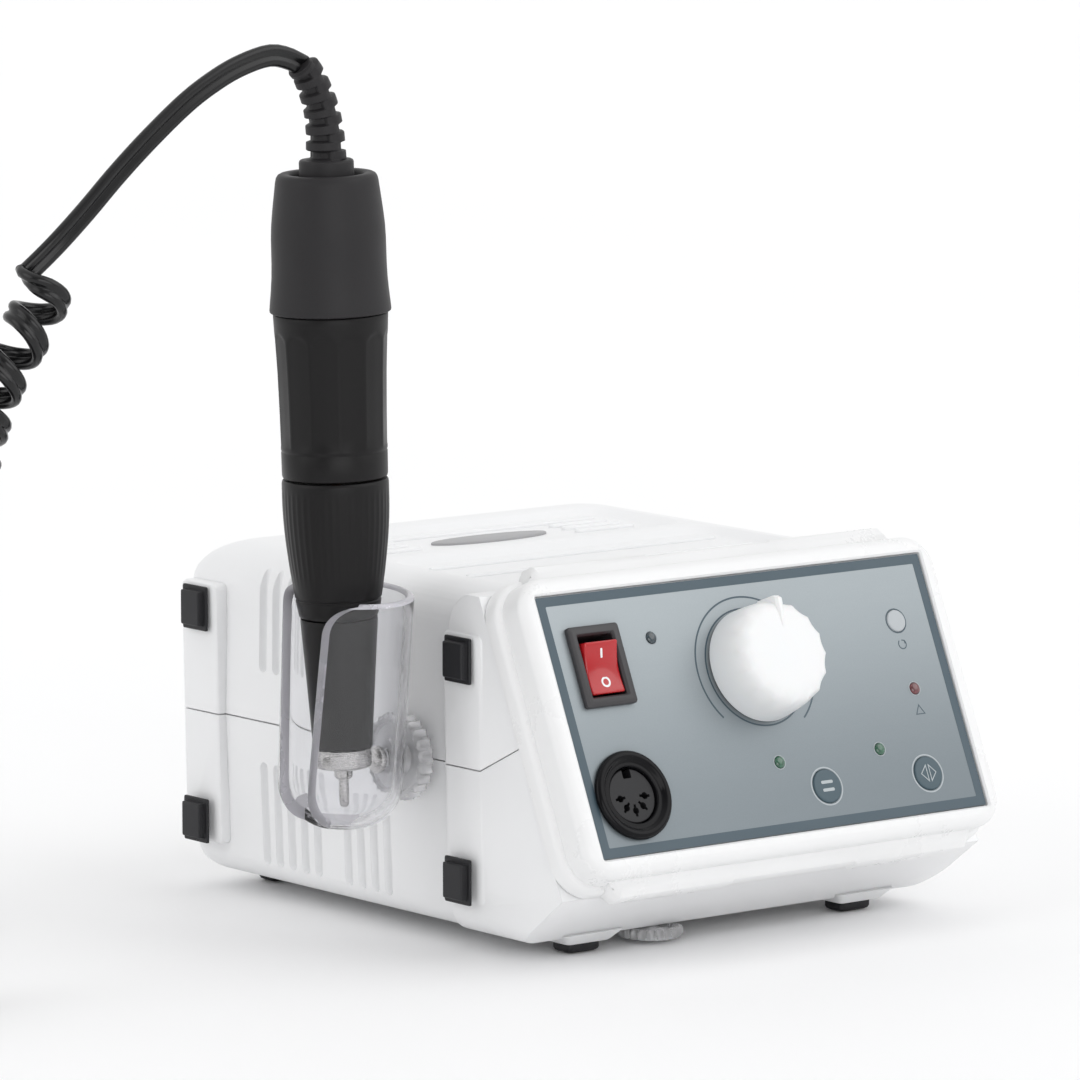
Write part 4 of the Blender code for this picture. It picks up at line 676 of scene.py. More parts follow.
def cords():
    """The cord in two stretches: down from the handpiece, then over the table to the plug."""
    lead = smooth_route(LEAD_ROUTE, 1.0)
    face_on = []
    for a, b in zip(lead, lead[1:] + [2 * lead[-1] - lead[-2]]):
        face_on.append((b - a).cross(Vector((0, 1, 0))).normalized())
    curl_points, curl_axis, phase, side = curl(
        HANGING_ROUTE, lambda run: HANG_PITCH + 0.9 * math.sin(run / 9.0), CURL_START,
        Vector((0, 1, 0)),
    )
    blend_run = 0.0
    turned_axis = []
    last = curl_points[0]
    flat = (lead[-1] - lead[-2]).cross(Vector((0, 1, 0))).normalized()
    for point, ahead in zip(curl_points, curl_axis):
        blend_run += (point - last).length
        last = point
        turned_axis.append(flat.lerp(ahead, ease(blend_run, 0, 14)).normalized())
    points, across = thinned(lead[:-1] + curl_points, face_on[:-1] + turned_axis, 1.15)
    upper = flat_cord("cord_upper", points, across)
    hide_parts("cord_lead", "cord_curl")
    BOX @ points[3]
    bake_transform(upper)
    length = sum((b - a).length for a, b in zip(points, points[1:])) / 1000
    [list(BOX @ point) for point in points]

    lower_points, lower_axis, _, _ = curl(
        TABLE_ROUTE, lambda run: HANG_PITCH + (REST_PITCH - HANG_PITCH) * ease(run, 0, 22),
        phase, side, 7.0,
    )
    tail = smooth_route(TAIL_ROUTE, 1.0)
    tail_across = [Vector((0, 0, 1)).cross(b - a).normalized() for a, b in zip(tail, tail[1:])]
    settle = []
    for k, ahead in enumerate(lower_axis):
        share = ease(k, len(lower_axis) - 90, len(lower_axis) - 1)
        settle.append(ahead.lerp(tail_across[0], share).normalized())
    points, across = thinned(lower_points + tail[1:], settle + tail_across, 1.15)
    lower = flat_cord("cord_lower", points, across)
    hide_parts("cord_coil", "cord_tail")
    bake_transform(lower)
    length = sum((b - a).length for a, b in zip(points, points[1:])) / 1000
    [list(BOX @ point) for point in points]


# ---------------------------------------------------------------- case
def panel_plane(z, depth):
    return PANEL_MID.y + (depth + (z - PANEL_MID.z) * math.sin(PANEL_LEAN)) / math.cos(PANEL_LEAN)


def front_edge(z, depth, inset=0.0):
    belly = BELLY_TOP[0] + (BELLY_TOP[1] - z) * BELLY_SLOPE + inset * 1.75
    return max(panel_plane(z, depth), belly)


def case_rings(inset, depth, low, top):
    """Level sections of the case: widest at the parting line, rounded at floor and top."""
    foot, shoulder, shoulder_rear = 6.0, 10.5, 17.0
    levels = [(low + foot * (1 - math.cos(math.radians(a))), foot * (1 - math.sin(math.radians(a))),
               0) for a in range(0, 91, 10)]
    levels += [(z, 0, 0) for z in (13.0, 17.0, 21.6, PARTING)]
    levels += [(top - shoulder + shoulder * math.sin(math.radians(a)), 0,
                1 - math.cos(math.radians(a))) for a in (0, 10, 20, 30, 40, 50, 60, 70, 80, 90)]
    rings = []
    for z, foot_inset, share in levels:
        draft = max(0, PARTING - z) * 0.040 + max(0, z - PARTING) * 0.018
        half = CASE_HALF - inset - draft - foot_inset - shoulder * share
        rear = CASE_BACK - inset - draft - foot_inset - shoulder_rear * share
        outline = rounded(-half, half, front_edge(z, depth, inset), rear, 6.5, 7)
        rings.append([(x, y, z) for x, y in outline])
    return rings


def front_rings():
    """The wider front part, with round upright rear edges and an arch up to the bezel."""
    depth = BEZEL_DEEP + GAP
    rear_low = RAILS[0] + RAIL_WIDE / 2 - 1.2
    foot, arch = 5.5, 9.5
    levels = [(CASE_FLOOR + 0.2 + foot * (1 - math.cos(math.radians(a))),
               foot * (1 - math.sin(math.radians(a))), rear_low) for a in range(0, 91, 15)]
    levels += [(z, 0, rear_low) for z in (17.2, PARTING, RAIL_HIGH)]
    levels += [(RAIL_HIGH + arch * math.sin(math.radians(a)), 0,
                rear_low - arch * (1 - math.cos(math.radians(a)))) for a in range(8, 80, 8)]
    rings = []
    for z, foot_inset, rear in levels:
        half = FRONT_HALF - max(0, PARTING - z) * 0.03 - foot_inset
        front = front_edge(z, depth, -0.1)
        rear = max(rear, front + 2)
        outline = [(-half, front), (half, front)]
        outline += arc((half - 1.2, rear - 1.2), 1.2, 0, 90, 4)
        outline += arc((-half + 1.2, rear - 1.2), 1.2, 90, 180, 4)
        rings.append([(x, y, z) for x, y in outline])
    return rings


def rail_shapes():
    """Four upright rails with rounded ends and edges."""
    bm = bmesh.new()
    for side in (-1, 1):
        for centre in RAILS:
            rings = []
            for out, spread in ((-5.5, 0.0), (-1.0, 0.0), (-0.3, -0.3), (0.0, -1.0)):
                outline = rounded(centre - RAIL_WIDE / 2 - spread, centre + RAIL_WIDE / 2 + spread,
                                  RAIL_LOW - spread, RAIL_HIGH + spread, 1.6, 4)
                ring = []
                for y, z in outline:
                    draft = max(0, PARTING - z) * 0.052 + max(0, z - PARTING) * 0.012
                    ring.append((side * (RAIL_FACE + out - draft), y, z))
                rings.append(ring)
            loft(bm, rings)
    return bm


def groove_shapes():
    """Upright vent grooves in both sides, round at the ends and narrower at the bottom."""
    rows = []
    for k in range(5):
        rows.append((GROOVE_FIRST - k * GROOVE_PITCH, 56.2, 83.2 - 0.4 * k))
        rows.append((GROOVE_FIRST - k * GROOVE_PITCH, 9.0, 33.5))
    for k in range(4):
        rows.append((GROOVE_FIRST - (k + 6.3) * GROOVE_PITCH, 8.5, 30.0))
    bm = bmesh.new()
    for side in (-1, 1):
        for y, low, high in rows:
            lean = 0.022 if high > PARTING else -0.040
            rings = []
            for out, half in ((-1.7, 0.4), (-1.4, 0.95), (-0.5, 1.3), (0.2, 1.65), (6, 4.7)):
                outline = arc((y, high - 1.2), half, 0, 180, 8)
                outline += arc((y, low + 1.2), half, 180, 360, 8)
                rings.append([(side * (CASE_HALF - (z - PARTING) * lean + out), yy, z)
                              for yy, z in outline])
            loft(bm, rings)
    return bm


def parting_block(upper):
    """Everything above or below the parting line, with a fine gap along it."""
    z = PARTING + (GAP / 2 if upper else -GAP / 2)
    far = 200 if upper else -50
    outline = [(CASE_BACK + 20, z), (38.5, z), (20.0, z + 9), (-50, z + 9), (-50, far),
               (CASE_BACK + 20, far)]
    bm = bmesh.new()
    loft(bm, [[(x, y, zz) for y, zz in outline] for x in (-120, 120)])
    return bm


def tray_shapes():
    """The two shallow trays in the top, with sloped sides and round corners."""
    bm = bmesh.new()
    floor = CASE_TOP - TRAY_DEEP
    for front, rear in TRAYS:
        levels = ((floor, 0), (floor + 0.25, 0.5), (CASE_TOP - 0.2, 2.6), (CASE_TOP + 1, 5.5))
        stack(bm, 47, (rear - front) / 2, 5, levels, 8, (0, (front + rear) / 2))
    return bm


def rib_shapes():
    """Rounded ribs on the tray floors; three stop short of the badge."""
    floor = CASE_TOP - TRAY_DEEP
    levels = ((floor - 1.0, 0.0), (floor + 0.35, 0.0), (floor + 0.7, -0.25), (floor + 0.8, -0.5))
    ribs = [(0, 42, 129.2, 1.1)]
    ribs += [(x, 9, 124.0 - k * GROOVE_PITCH, 1.1) for k in range(3) for x in (-33, 33)]
    ribs += [(0, 44, y, 0.6) for y in (84.2, 70.0)]
    bm = bmesh.new()
    for x, half_x, y, half_y in ribs:
        stack(bm, half_x, half_y, half_y * 0.95, levels, 5, (x, y), 0.95)
    return bm


def pedestal_shapes():
    bm = bmesh.new()
    for x in (-FOOT_SPREAD, FOOT_SPREAD):
        for _, y in FEET:
            levels = ((2.5, 1.4), (2.8, 1.8), (5.2, 4.0))
            stack(bm, FOOT_HALF_X, FOOT_HALF_Y, 1.0, levels, 4, (x, y), 0)
    return bm


def case_shell(name, upper):
    """One moulded half of the case."""
    bm = bmesh.new()
    loft(bm, case_rings(0, BEZEL_DEEP + GAP + 0.2, CASE_FLOOR, CASE_TOP))
    made = raw(name, bm, BOX)
    bm = bmesh.new()
    loft(bm, front_rings())
    carve(made, bm, BOX, "UNION")
    carve(made, rail_shapes(), BOX, "UNION")
    if not upper:
        carve(made, pedestal_shapes(), BOX, "UNION")
    bm = bmesh.new()
    loft(bm, case_rings(WALL, BEZEL_DEEP - 4, CASE_FLOOR + WALL, CASE_TOP - WALL - TRAY_DEEP))
    carve(made, bm, BOX)
    carve(made, groove_shapes(), BOX)
    bm = bmesh.new()
    verts = prism(bm, circle(STUD_HOLE, 24), -12, 12)
    move(verts, Matrix.Translation(STUD) @ turned_by(math.pi / 2, "Y"))
    carve(made, bm, BOX)
    if upper:
        carve(made, tray_shapes(), BOX)
        carve(made, rib_shapes(), BOX, "UNION")
    else:
        bm = bmesh.new()
        for x, half_x, half_z in REAR_FITTINGS.values():
            corner = half_x - 0.01 if half_x == half_z else 0.3
            outline = rounded(x - half_x - GAP, x + half_x + GAP, FITTING_HEIGHT - half_z - GAP,
                              FITTING_HEIGHT + half_z + GAP, corner, 8)
            loft(bm, [[(u, y, v) for u, v in outline] for y in (CASE_BACK - 12, CASE_BACK + 10)])
        carve(made, bm, BOX)
        bm = bmesh.new()
        move(prism(bm, circle(STUD_HOLE, 20), -10, 20), Matrix.Translation((*LOW_WHEEL, CASE_FLOOR)))
        carve(made, bm, BOX)
    carve(made, parting_block(upper), BOX, "INTERSECT")
    return dress(made, "white_case", "case", [name.replace("_moulding", "")], crease=28)


def badge():
    """Blank oval plate in the middle of the rear tray."""
    bm = bmesh.new()
    floor = CASE_TOP - TRAY_DEEP
    rings = []
    for z, spread in ((floor - 0.1, 0), (floor + 0.45, 0), (floor + 0.6, -0.3)):
        long, short = 17.5 + spread, 4.6 + spread
        rings.append([(x * long, 117.5 + y * short, z) for x, y in circle(1, 64)])
    loft(bm, rings)
    piece("top_badge", bm, BOX, "badge_grey", "case")


def rubber_pads():
    """Stepped bumpers on the rails and chamfered feet under the floor."""
    steps = ((0, 0), (0.45, 0), (0.6, -0.15), (0.6, -1.05), (1.95, -1.2), (2.15, -1.45))
    sole = ((0, -0.9), (0.35, -0.25), (0.9, 0), (2.2, 0))
    for side, sign in (("left", -1), ("right", 1)):
        for end, y in zip(("front", "rear"), RAILS):
            for level, z in BUMPER_HEIGHTS:
                bm = bmesh.new()
                stack(bm, 5.4, 4.8, 0.4, steps, 3, follow=0)
                place = placed((sign * (RAIL_FACE + GAP), y, z), turned_by(sign * math.pi / 2, "Y"))
                spot = f"{side}_{end}_{level}"
                piece("pad_" + spot, bm, place, "rubber", "case", ["bumper_" + spot])
        for end, y in FEET:
            bm = bmesh.new()
            stack(bm, FOOT_HALF_X, FOOT_HALF_Y, 1.2, sole, 4, follow=0)
            piece(f"rubber_foot_{end}_{side}", bm, placed((sign * FOOT_SPREAD, y, 0)), "rubber",
                  "case", [f"foot_{end}_{side}"])


# ---------------------------------------------------------------- front panel
def hole_shapes(clearance):
    bm = bmesh.new()
    u, v = SWITCH
    block(bm, u - 6.1 - clearance, u + 6.1 + clearance, v - 8.35 - clearance,
          v + 8.35 + clearance, -20, 10)
    round_holes = [(*SOCKET, 7.7, 64), (*KNOB, 3.6, 32)]
    round_holes += [(x, y, LAMP_R, 32) for x, y in LAMPS.values()]
    round_holes += [(x, y, r, 48) for x, y, r in BUTTONS.values()]
    for x, y, radius, steps in round_holes:
        prism(bm, circle(radius + clearance, steps, (x, y)), -20, 10)
    return bm


def bezel_band_shape(sign):
    """The long band along one edge, chamfered at its ends and a shade lower in its middle."""
    face = LABEL_H / 2 + MARGIN
    inner = face - 3.0
    rings = []
    stations = [(-55.0, 0.12, 0), (-54.2, 0.5, 0), (-52.6, 1, 0), (-19.3, 1, 0), (-18.7, 1, 0.4),
                (18.7, 1, 0.4), (19.3, 1, 0), (52.6, 1, 0), (54.2, 0.5, 0), (55.0, 0.12, 0)]
    for u, share, drop in stations:
        top = face + (4.0 - drop) * share
        lip = face + 2.2 * share
        front = -1.6 - 1.2 * (1 - share) - drop
        outline = [(inner, front), (lip - 0.6, front - 1.7), (lip + 0.3, front - 2.5),
                   (top - 0.4, -4.9), (top, -5.8), (top, -9.4), (top - 0.5, -10.1),
                   (lip, -11.4), (inner, -11.4)]
        rings.append([(u, sign * v, w) for v, w in outline])
    bm = bmesh.new()
    loft(bm, rings)
    return bm


def bezel():
    """White frame: a full round bead, with a drilled floor under the label, on a wider flange."""
    half_w, half_h = LABEL_W / 2 + MARGIN, LABEL_H / 2 + MARGIN
    bead = ((-8.4, 0), (-1.9, 0), (-1.2, -0.12), (-0.6, -0.4), (-0.05, -0.85), (0.4, -1.45),
            (0.68, -2.1), (0.8, -2.8))
    bm = bmesh.new()
    stack(bm, half_w, half_h, 8, bead, 12)
    made = raw("bezel_moulding", bm, PANEL)
    bm = bmesh.new()
    recess = ((-0.9, 0.0), (0.35, 0.0), (0.7, 0.35), (2, 2))
    stack(bm, LABEL_W / 2 + GAP, LABEL_H / 2 + GAP, 0.5, recess, 4)
    carve(made, bm, PANEL)
    bm = bmesh.new()
    stack(bm, half_w - WALL, half_h - WALL, 5, ((-30, 0), (-3, 0)), 6)
    carve(made, bm, PANEL)
    carve(made, hole_shapes(GAP), PANEL)

    bm = bmesh.new()
    edge = ((-12, 0), (-9.0, 0), (-8.2, -0.2), (-7.6, -0.6), (-7.2, -1.3))
    stack(bm, half_w + 1.6, half_h + 1.6, 9.6, edge, 12)
    flange = raw("bezel_flange", bm, PANEL)
    bm = bmesh.new()
    stack(bm, half_w - WALL, half_h - WALL, 5, ((-30, 0), (0, 0)), 6)
    carve(flange, bm, PANEL)
    whole = bmesh.new()
    whole.from_mesh(made.data)
    bands = [raw("bezel_band", bezel_band_shape(sign), PANEL) for sign in (1, -1)]
    for part in (flange, *bands):
        whole.from_mesh(part.data)
        bpy.data.objects.remove(part, do_unlink=True)
    whole.to_mesh(made.data)
    whole.free()
    dress(made, "white_bezel", "case", ["front_bezel"], crease=30)


def label():
    """The printed metal skin, and its print as a hair-thin layer of paint."""
    bm = bmesh.new()
    stack(bm, LABEL_W / 2, LABEL_H / 2, 0.4, ((-0.6, 0), (-0.08, 0), (0, -0.08)), 3, follow=0)
    made = raw("label_skin", bm, PANEL)
    carve(made, hole_shapes(0.1), PANEL)
    dress(made, "label_metal", "case", ["front_label"])

    bm = bmesh.new()
    border = 2.4
    outer = rounded(-LABEL_W / 2 + 0.1, LABEL_W / 2 - 0.1, -LABEL_H / 2 + 0.1, LABEL_H / 2 - 0.1,
                    0.35, 2)
    inner = rounded(-LABEL_W / 2 + border, LABEL_W / 2 - border, -LABEL_H / 2 + border,
                    LABEL_H / 2 - border, 0.3, 2)
    painted_band(bm, outer, inner, True)
    centre = (KNOB[0] + 0.1, KNOB[1] - 0.1)
    painted_arc(bm, centre, 14.3, 0.40, 0, 360, 96)
    painted_arc(bm, centre, 17.2, 0.42, 90 - 142, 90 + 130, 96)
    u, v, radius = BUTTONS["reset_button"]
    painted_arc(bm, (u, v), radius + 0.25, 0.28, 0, 360, 48)
    caption_marks(bm)
    piece("label_print", bm, PANEL, "mark_slate", "case")
    bm = bmesh.new()
    for name, (u, v) in LAMPS.items():
        if name != "power_lamp":
            painted_arc(bm, (u, v), LAMP_R + 0.22, 0.16, 0, 360, 40)
    for name, (u, v, radius) in BUTTONS.items():
        if name != "reset_button":
            painted_arc(bm, (u, v), radius + 0.46, 0.32, 0, 360, 64)
    piece("label_halos", bm, PANEL, "mark_pale", "case")


def painted_band(bm, outer, inner, closed):
    """A flat layer of paint between two outlines of equal length."""
    count = len(outer)
    rows = [[bm.verts.new((u, v, w)) for u, v in ring]
            for ring, w in ((outer, 0.005), (outer, PAINT), (inner, PAINT), (inner, 0.005))]
    for k, low in enumerate(rows):
        high = rows[(k + 1) % 4]
        for i in range(count if closed else count - 1):
            j = (i + 1) % count
            bm.faces.new((low[i], low[j], high[j], high[i]))
    if not closed:
        bm.faces.new([row[0] for row in rows])
        bm.faces.new([row[-1] for row in reversed(rows)])


def painted_arc(bm, centre, radius, width, start, end, steps):
    closed = end - start >= 360
    last = end - 360 / steps if closed else end
    outer = arc(centre, radius + width / 2, start, last, steps - 1)
    inner = arc(centre, radius - width / 2, start, last, steps - 1)
    painted_band(bm, outer, inner, closed)


def painted_strip(bm, points, width):
    """A painted line through points, mitred at its corners."""
    outer, inner = [], []
    closed = points[0] == points[-1]
    spots = [Vector(point) for point in (points[:-1] if closed else points)]
    for k, spot in enumerate(spots):
        before = spots[k - 1] if closed or k else spot
        after = spots[(k + 1) % len(spots)] if closed or k < len(spots) - 1 else spot
        a = (spot - before).normalized() if (spot - before).length else Vector((0, 0))
        b = (after - spot).normalized() if (after - spot).length else Vector((0, 0))
        run = (a + b).normalized()
        sharp = max(0.35, run.dot(b if b.length else a))
        offset = Vector((-run.y, run.x)) * width / 2 / sharp
        outer.append(tuple(spot + offset))
        inner.append(tuple(spot - offset))
    painted_band(bm, outer, inner, closed)


def caption_marks(bm):
    """Plain signs in place of words: a turning arrow by reset, a warning triangle by overload."""
    u, v = 46.3, 9.9
    painted_arc(bm, (u, v), 1.15, 0.26, 130, 410, 24)
    tip = (u + 1.15 * math.cos(math.radians(50)), v + 1.15 * math.sin(math.radians(50)))
    painted_strip(bm, [(tip[0] - 0.75, tip[1] + 0.1), tip, (tip[0] + 0.15, tip[1] - 0.85)], 0.24)
    u, v = 46.1, -6.6
    painted_strip(bm, [(u - 1.3, v - 0.9), (u + 1.3, v - 0.9), (u, v + 1.3), (u - 1.3, v - 0.9)],
                  0.24)


def power_switch():
    """Rocker switch: a frame with a sloped lip, and the rocker with its I and O."""
    u, v = SWITCH
    place = PANEL @ Matrix.Translation((u, v, 0))
    lip = ((0.3, 0), (1.15, 0), (1.4, -0.12), (1.75, -0.75))
    bm = bmesh.new()
    stack(bm, 7.5, 9.75, 0.7, lip, 4, follow=0)
    made = raw("switch_frame", bm, place)
    bm = bmesh.new()
    block(bm, -6.1, 6.1, -8.35, 8.35, -10, 1.0)
    carve(made, bm, place, "UNION")
    bm = bmesh.new()
    stack(bm, 5.1, 7.35, 0.4, ((-8.6, 0), (1.1, 0), (1.5, 0.25), (4, 2.75)), 3, follow=0)
    carve(made, bm, place)
    dress(made, "switch_frame", "case", ["switch_housing"])

    pivot = place @ Matrix.Translation((0, 0, -2.4)) @ turned_by(math.radians(9), "X")
    side_view = [(-3.7, -4.6), (3.7, -4.6), (6.15, 1.0), (6.15, 4.3)]
    side_view += arc((5.85, 4.3), 0.3, 0, 90, 4)[1:]
    side_view += [(y, 3.55 + 1.05 * (abs(y) / 5.85) ** 1.7) for y in (5.0, 4.0, 3.0, 2.0, 1.0, 0.0)]
    side_view += [(-y, z) for y, z in reversed(side_view[4:-1])]
    side_view += [(-6.15, 4.3), (-6.15, 1.0)]
    middle = Vector((0, 0.5))
    rings = []
    for x, shrink in ((-4.8, 0.45), (-4.68, 0.16), (-4.4, 0), (4.4, 0), (4.68, 0.16), (4.8, 0.45)):
        ring = []
        for y, z in side_view:
            pull = (Vector((y, z)) - middle).normalized() * shrink
            ring.append((x, y - pull.x, z - pull.y))
        rings.append(ring)
    bm = bmesh.new()
    loft(bm, rings)
    piece("rocker_cap", bm, pivot, "rocker_red", "rocker", ["rocker"], crease=40)
    bm = bmesh.new()
    tilt = math.atan2(0.55, 3.0) * 1.15
    verts = prism(bm, rounded(-0.28, 0.28, -1.15, 1.15, 0.2, 3), 0, 0.05)
    move(verts, Matrix.Translation((0, 3.4, 3.97)) @ turned_by(tilt, "X"))
    painted_arc(bm, (0, 0), 1.05, 0.5, 0, 360, 40)
    circle_verts = set(bm.verts) - set(verts)
    move(circle_verts, Matrix.Translation((0, -3.4, 3.97)) @ turned_by(-tilt, "X"))
    piece("rocker_marks", bm, pivot, "mark_white", "rocker")


def handpiece_socket():
    """Round five-pole socket: a glossy dished ring and an insert with radial slots."""
    place = PANEL @ Matrix.Translation((*SOCKET, 0))
    lathe("socket_ring", place, [
        (6.8, -8.5), (7.7, -8.5), (7.7, 0.3), (10.6, 0.3), (10.7, 0.5), (10.6, 1.1), (10.3, 1.5),
        (9.9, 1.75), (9.4, 1.8), (8.9, 1.7), (8.5, 1.4), (8.1, 1.0), (7.6, 0.9), (7.2, 1.0),
        (6.95, 0.95), (6.8, 0.7),
    ], "black_gloss", "case", ["handpiece_socket"], 50)
    bm = bmesh.new()
    rings = []
    for w, radius in ((-11, 6.5), (0.0, 6.5), (0.2, 6.3)):
        rings.append([(x, y, w) for x, y in circle(radius, 64)])
    loft(bm, rings)
    made = raw("socket_face", bm, place)
    turns = [turned_by(math.radians(-90 + 42 * k), "Z") for k in range(-2, 3)]
    slit = [(2.1, -0.32), (5.0, -0.32), (5.0, 0.32), (2.1, 0.32)]
    for outline, low, high in ((slit, -5, 5), (circle(0.85, 16, (3.6, 0)), -5.3, 5.5)):
        bm = bmesh.new()
        for turn in turns:
            move(prism(bm, outline, low, high), turn)
        carve(made, bm, place)
    bm = bmesh.new()
    prism(bm, rounded(-1.2, 1.2, 4.2, 8, 0.3, 3), -5.6, 5)
    carve(made, bm, place)
    dress(made, "dark_insert", "case", ["socket_insert"])


def speed_knob():
    """Knob with a plain skirt, a fluted front edge, a shallow dome and a pointer fin."""
    place = PANEL @ Matrix.Translation((*KNOB, 0)) @ turned_by(-KNOB_TURN, "Z")
    flutes, across = 16, 10

    def flute(angle, height):
        share = (angle * flutes / math.tau) % 1.0
        depth = 0.55 * ease(height, 8.0, 11.6)
        return depth * (1 - (2 * share - 1) ** 2)

    rings = []
    for w, radius, fade in (
        (0.9, 13.5, 1), (1.1, 13.75, 1), (3, 13.7, 1), (5, 13.55, 1), (7, 13.35, 1),
        (8.5, 13.2, 1), (10, 13.0, 1), (11, 12.8, 1), (11.7, 12.45, 1), (12.3, 11.95, 1),
        (12.7, 11.3, 0.9), (12.95, 10.5, 0.6), (13.1, 9.5, 0.3), (13.2, 8.0, 0), (13.32, 5.5, 0),
        (13.4, 3.0, 0), (13.42, 1.0, 0),
    ):
        ring = []
        for k in range(flutes * across):
            angle = math.tau * k / (flutes * across)
            local = radius - flute(angle, w) * fade
            ring.append((local * math.cos(angle), local * math.sin(angle), w))
        rings.append(ring)
    bm = bmesh.new()
    loft(bm, rings)
    made = raw("knob_moulding", bm, place)
    rings = []
    for v, half, top in ((5.2, 0.15, 13.2), (5.8, 0.5, 13.36), (7.5, 0.75, 13.5), (11.5, 1.0, 13.6),
                         (12.9, 1.1, 13.5), (13.6, 1.1, 12.6), (13.75, 1.0, 10.0), (13.4, 0.8, 8.2)):
        low = 7.0
        rings.append([(-half * 1.5, v, low), (half * 1.5, v, low), (half, v, top - 0.5),
                      (half * 0.45, v, top), (-half * 0.45, v, top), (-half, v, top - 0.5)])
    bm = bmesh.new()
    loft(bm, rings)
    carve(made, bm, place, "UNION")
    bm = bmesh.new()
    prism(bm, circle(3.3, 32), -10, 9.1)
    carve(made, bm, place)
    dress(made, "white_knob", "knob", ["speed_knob"], crease=38)


def lamps():
    tints = {"power_lamp": "slate_lens", "mode_lamp": "green_lens", "direction_lamp": "green_lens",
             "overload_lamp": "red_lens"}
    for name, (u, v) in LAMPS.items():
        dome = [(LAMP_R * math.cos(math.radians(a)), 0.1 + 0.6 * math.sin(math.radians(a)))
                for a in range(0, 90, 15)]
        lathe(name + "_lens", PANEL @ Matrix.Translation((u, v, 0)),
              [(0, -6.0), (LAMP_R, -6.0), *dome, (0, 0.7)], tints[name], "case", [name], 32, 40)


def buttons():
    """Push caps with a soft edge, and plain line signs on the two dark ones."""
    for name, (u, v, radius) in BUTTONS.items():
        place = PANEL @ Matrix.Translation((u, v, 0))
        finish = "grey_cap" if name == "reset_button" else "slate_cap"
        lathe(name + "_cap", place, [
            (0, -10.0), (1.2, -10.0), (1.2, -2.2), (radius, -2.2), (radius, 0.12),
            (radius - 0.07, 0.28), (radius - 0.22, 0.37), (radius - 0.45, 0.40), (0, 0.33),
        ], finish, name, [name], 50, 64)
    bm = bmesh.new()
    for v in (0.95, -0.95):
        prism(bm, rounded(-1.75, 1.75, v - 0.38, v + 0.38, 0.3, 3), 0, PAINT)
    u, v, _ = BUTTONS["mode_button"]
    piece("mode_sign", bm, PANEL @ Matrix.Translation((u, v, 0.40)), "mark_pale", "mode_button")
    bm = bmesh.new()
    for sign in (-1, 1):
        painted_strip(bm, [(sign * 0.42, 1.95), (sign * 0.42, -1.95), (sign * 2.25, 0),
                           (sign * 0.42, 1.95)], 0.22)
    u, v, _ = BUTTONS["direction_button"]
    piece("direction_sign", bm, PANEL @ Matrix.Translation((u, v, 0.40)), "mark_pale",
          "direction_button")


# ---------------------------------------------------------------- handpiece rest
def rest_cup():
    """Clear cup with a round foot, a rolled rim and a tapering slot down its outer side."""
    outer, inner = [], []
    for inset, wall in ((0, outer), (CUP_WALL, inner)):
        low = -CUP_BELOW + inset
        bend = 10.0 - inset * 0.6
        radius = CUP_FOOT_R - inset
        wall += [(0, low), (radius - bend, low)]
        for a in range(10, 91, 10):
            wall.append((radius - bend + bend * math.sin(math.radians(a)),
                         low + bend * (1 - math.cos(math.radians(a)))))
        rim = CUP_R - (RIM_WALL if inset else 0)
        rise = CUP_ABOVE - low - bend
        wall += [(radius + (rim - radius) * k / 9, low + bend + rise * k / 9) for k in range(1, 9)]
    half = RIM_WALL / 2
    rim = arc((CUP_R - half, CUP_ABOVE - half), half, 0, 180, 8)
    bm = bmesh.new()
    turned(bm, [*outer, *rim, *reversed(inner)], 128)
    made = raw("rest_cup", bm, CUP)
    top, foot, flare = 7.5, 5.5, 8.5
    outline = [(-foot * 0.8, -30), (foot * 0.8, -30), (foot, -CUP_BELOW + 12)]
    outline += [(top, CUP_ABOVE - flare)]
    outline += arc((top + flare, CUP_ABOVE - flare), flare, 180, 90, 14)[1:]
    outline += [(top + flare, CUP_ABOVE + 10), (-top - flare, CUP_ABOVE + 10)]
    outline += arc((-top - flare, CUP_ABOVE - flare), flare, 90, 0, 14)
    outline += [(-foot, -CUP_BELOW + 12)]
    bm = bmesh.new()
    loft(bm, [[(x, y, z) for y, z in outline] for x in (-30, -CUP_FOOT_R * 0.42)])
    carve(made, bm, CUP)
    through = turned_by(-CUP_TILT, "X") @ turned_by(math.pi / 2, "Y")
    for radius, far in ((STUD_HOLE, 30), (4.0, CUP_R - CUP_WALL - 1.4)):
        bm = bmesh.new()
        move(prism(bm, circle(radius, 32), 5, far), through)
        carve(made, bm, CUP)
    dress(made, "clear_rest", "holder", ["holder_cup"], crease=40, edge=0.35)
    frosted_edges(made)


def frosted_edges(cup):
    """The slot's cut edges and the rim are milkier than the polished walls."""
    cup.data.materials.append(FINISH["clear_edge"])
    inside = CUP.inverted()
    for face in cup.data.polygons:
        spot = inside @ face.center
        normal = (inside.to_3x3() @ face.normal).normalized()
        outward = Vector((spot.x, spot.y, 0)).normalized()
        on_rim = spot.z > CUP_ABOVE - 1.2
        on_cut = abs(normal.dot(outward)) < 0.75 and spot.x < -2 and abs(spot.y) > 3
        if (on_rim or on_cut) and spot.z > -CUP_BELOW + 3:
            face.material_index = 1


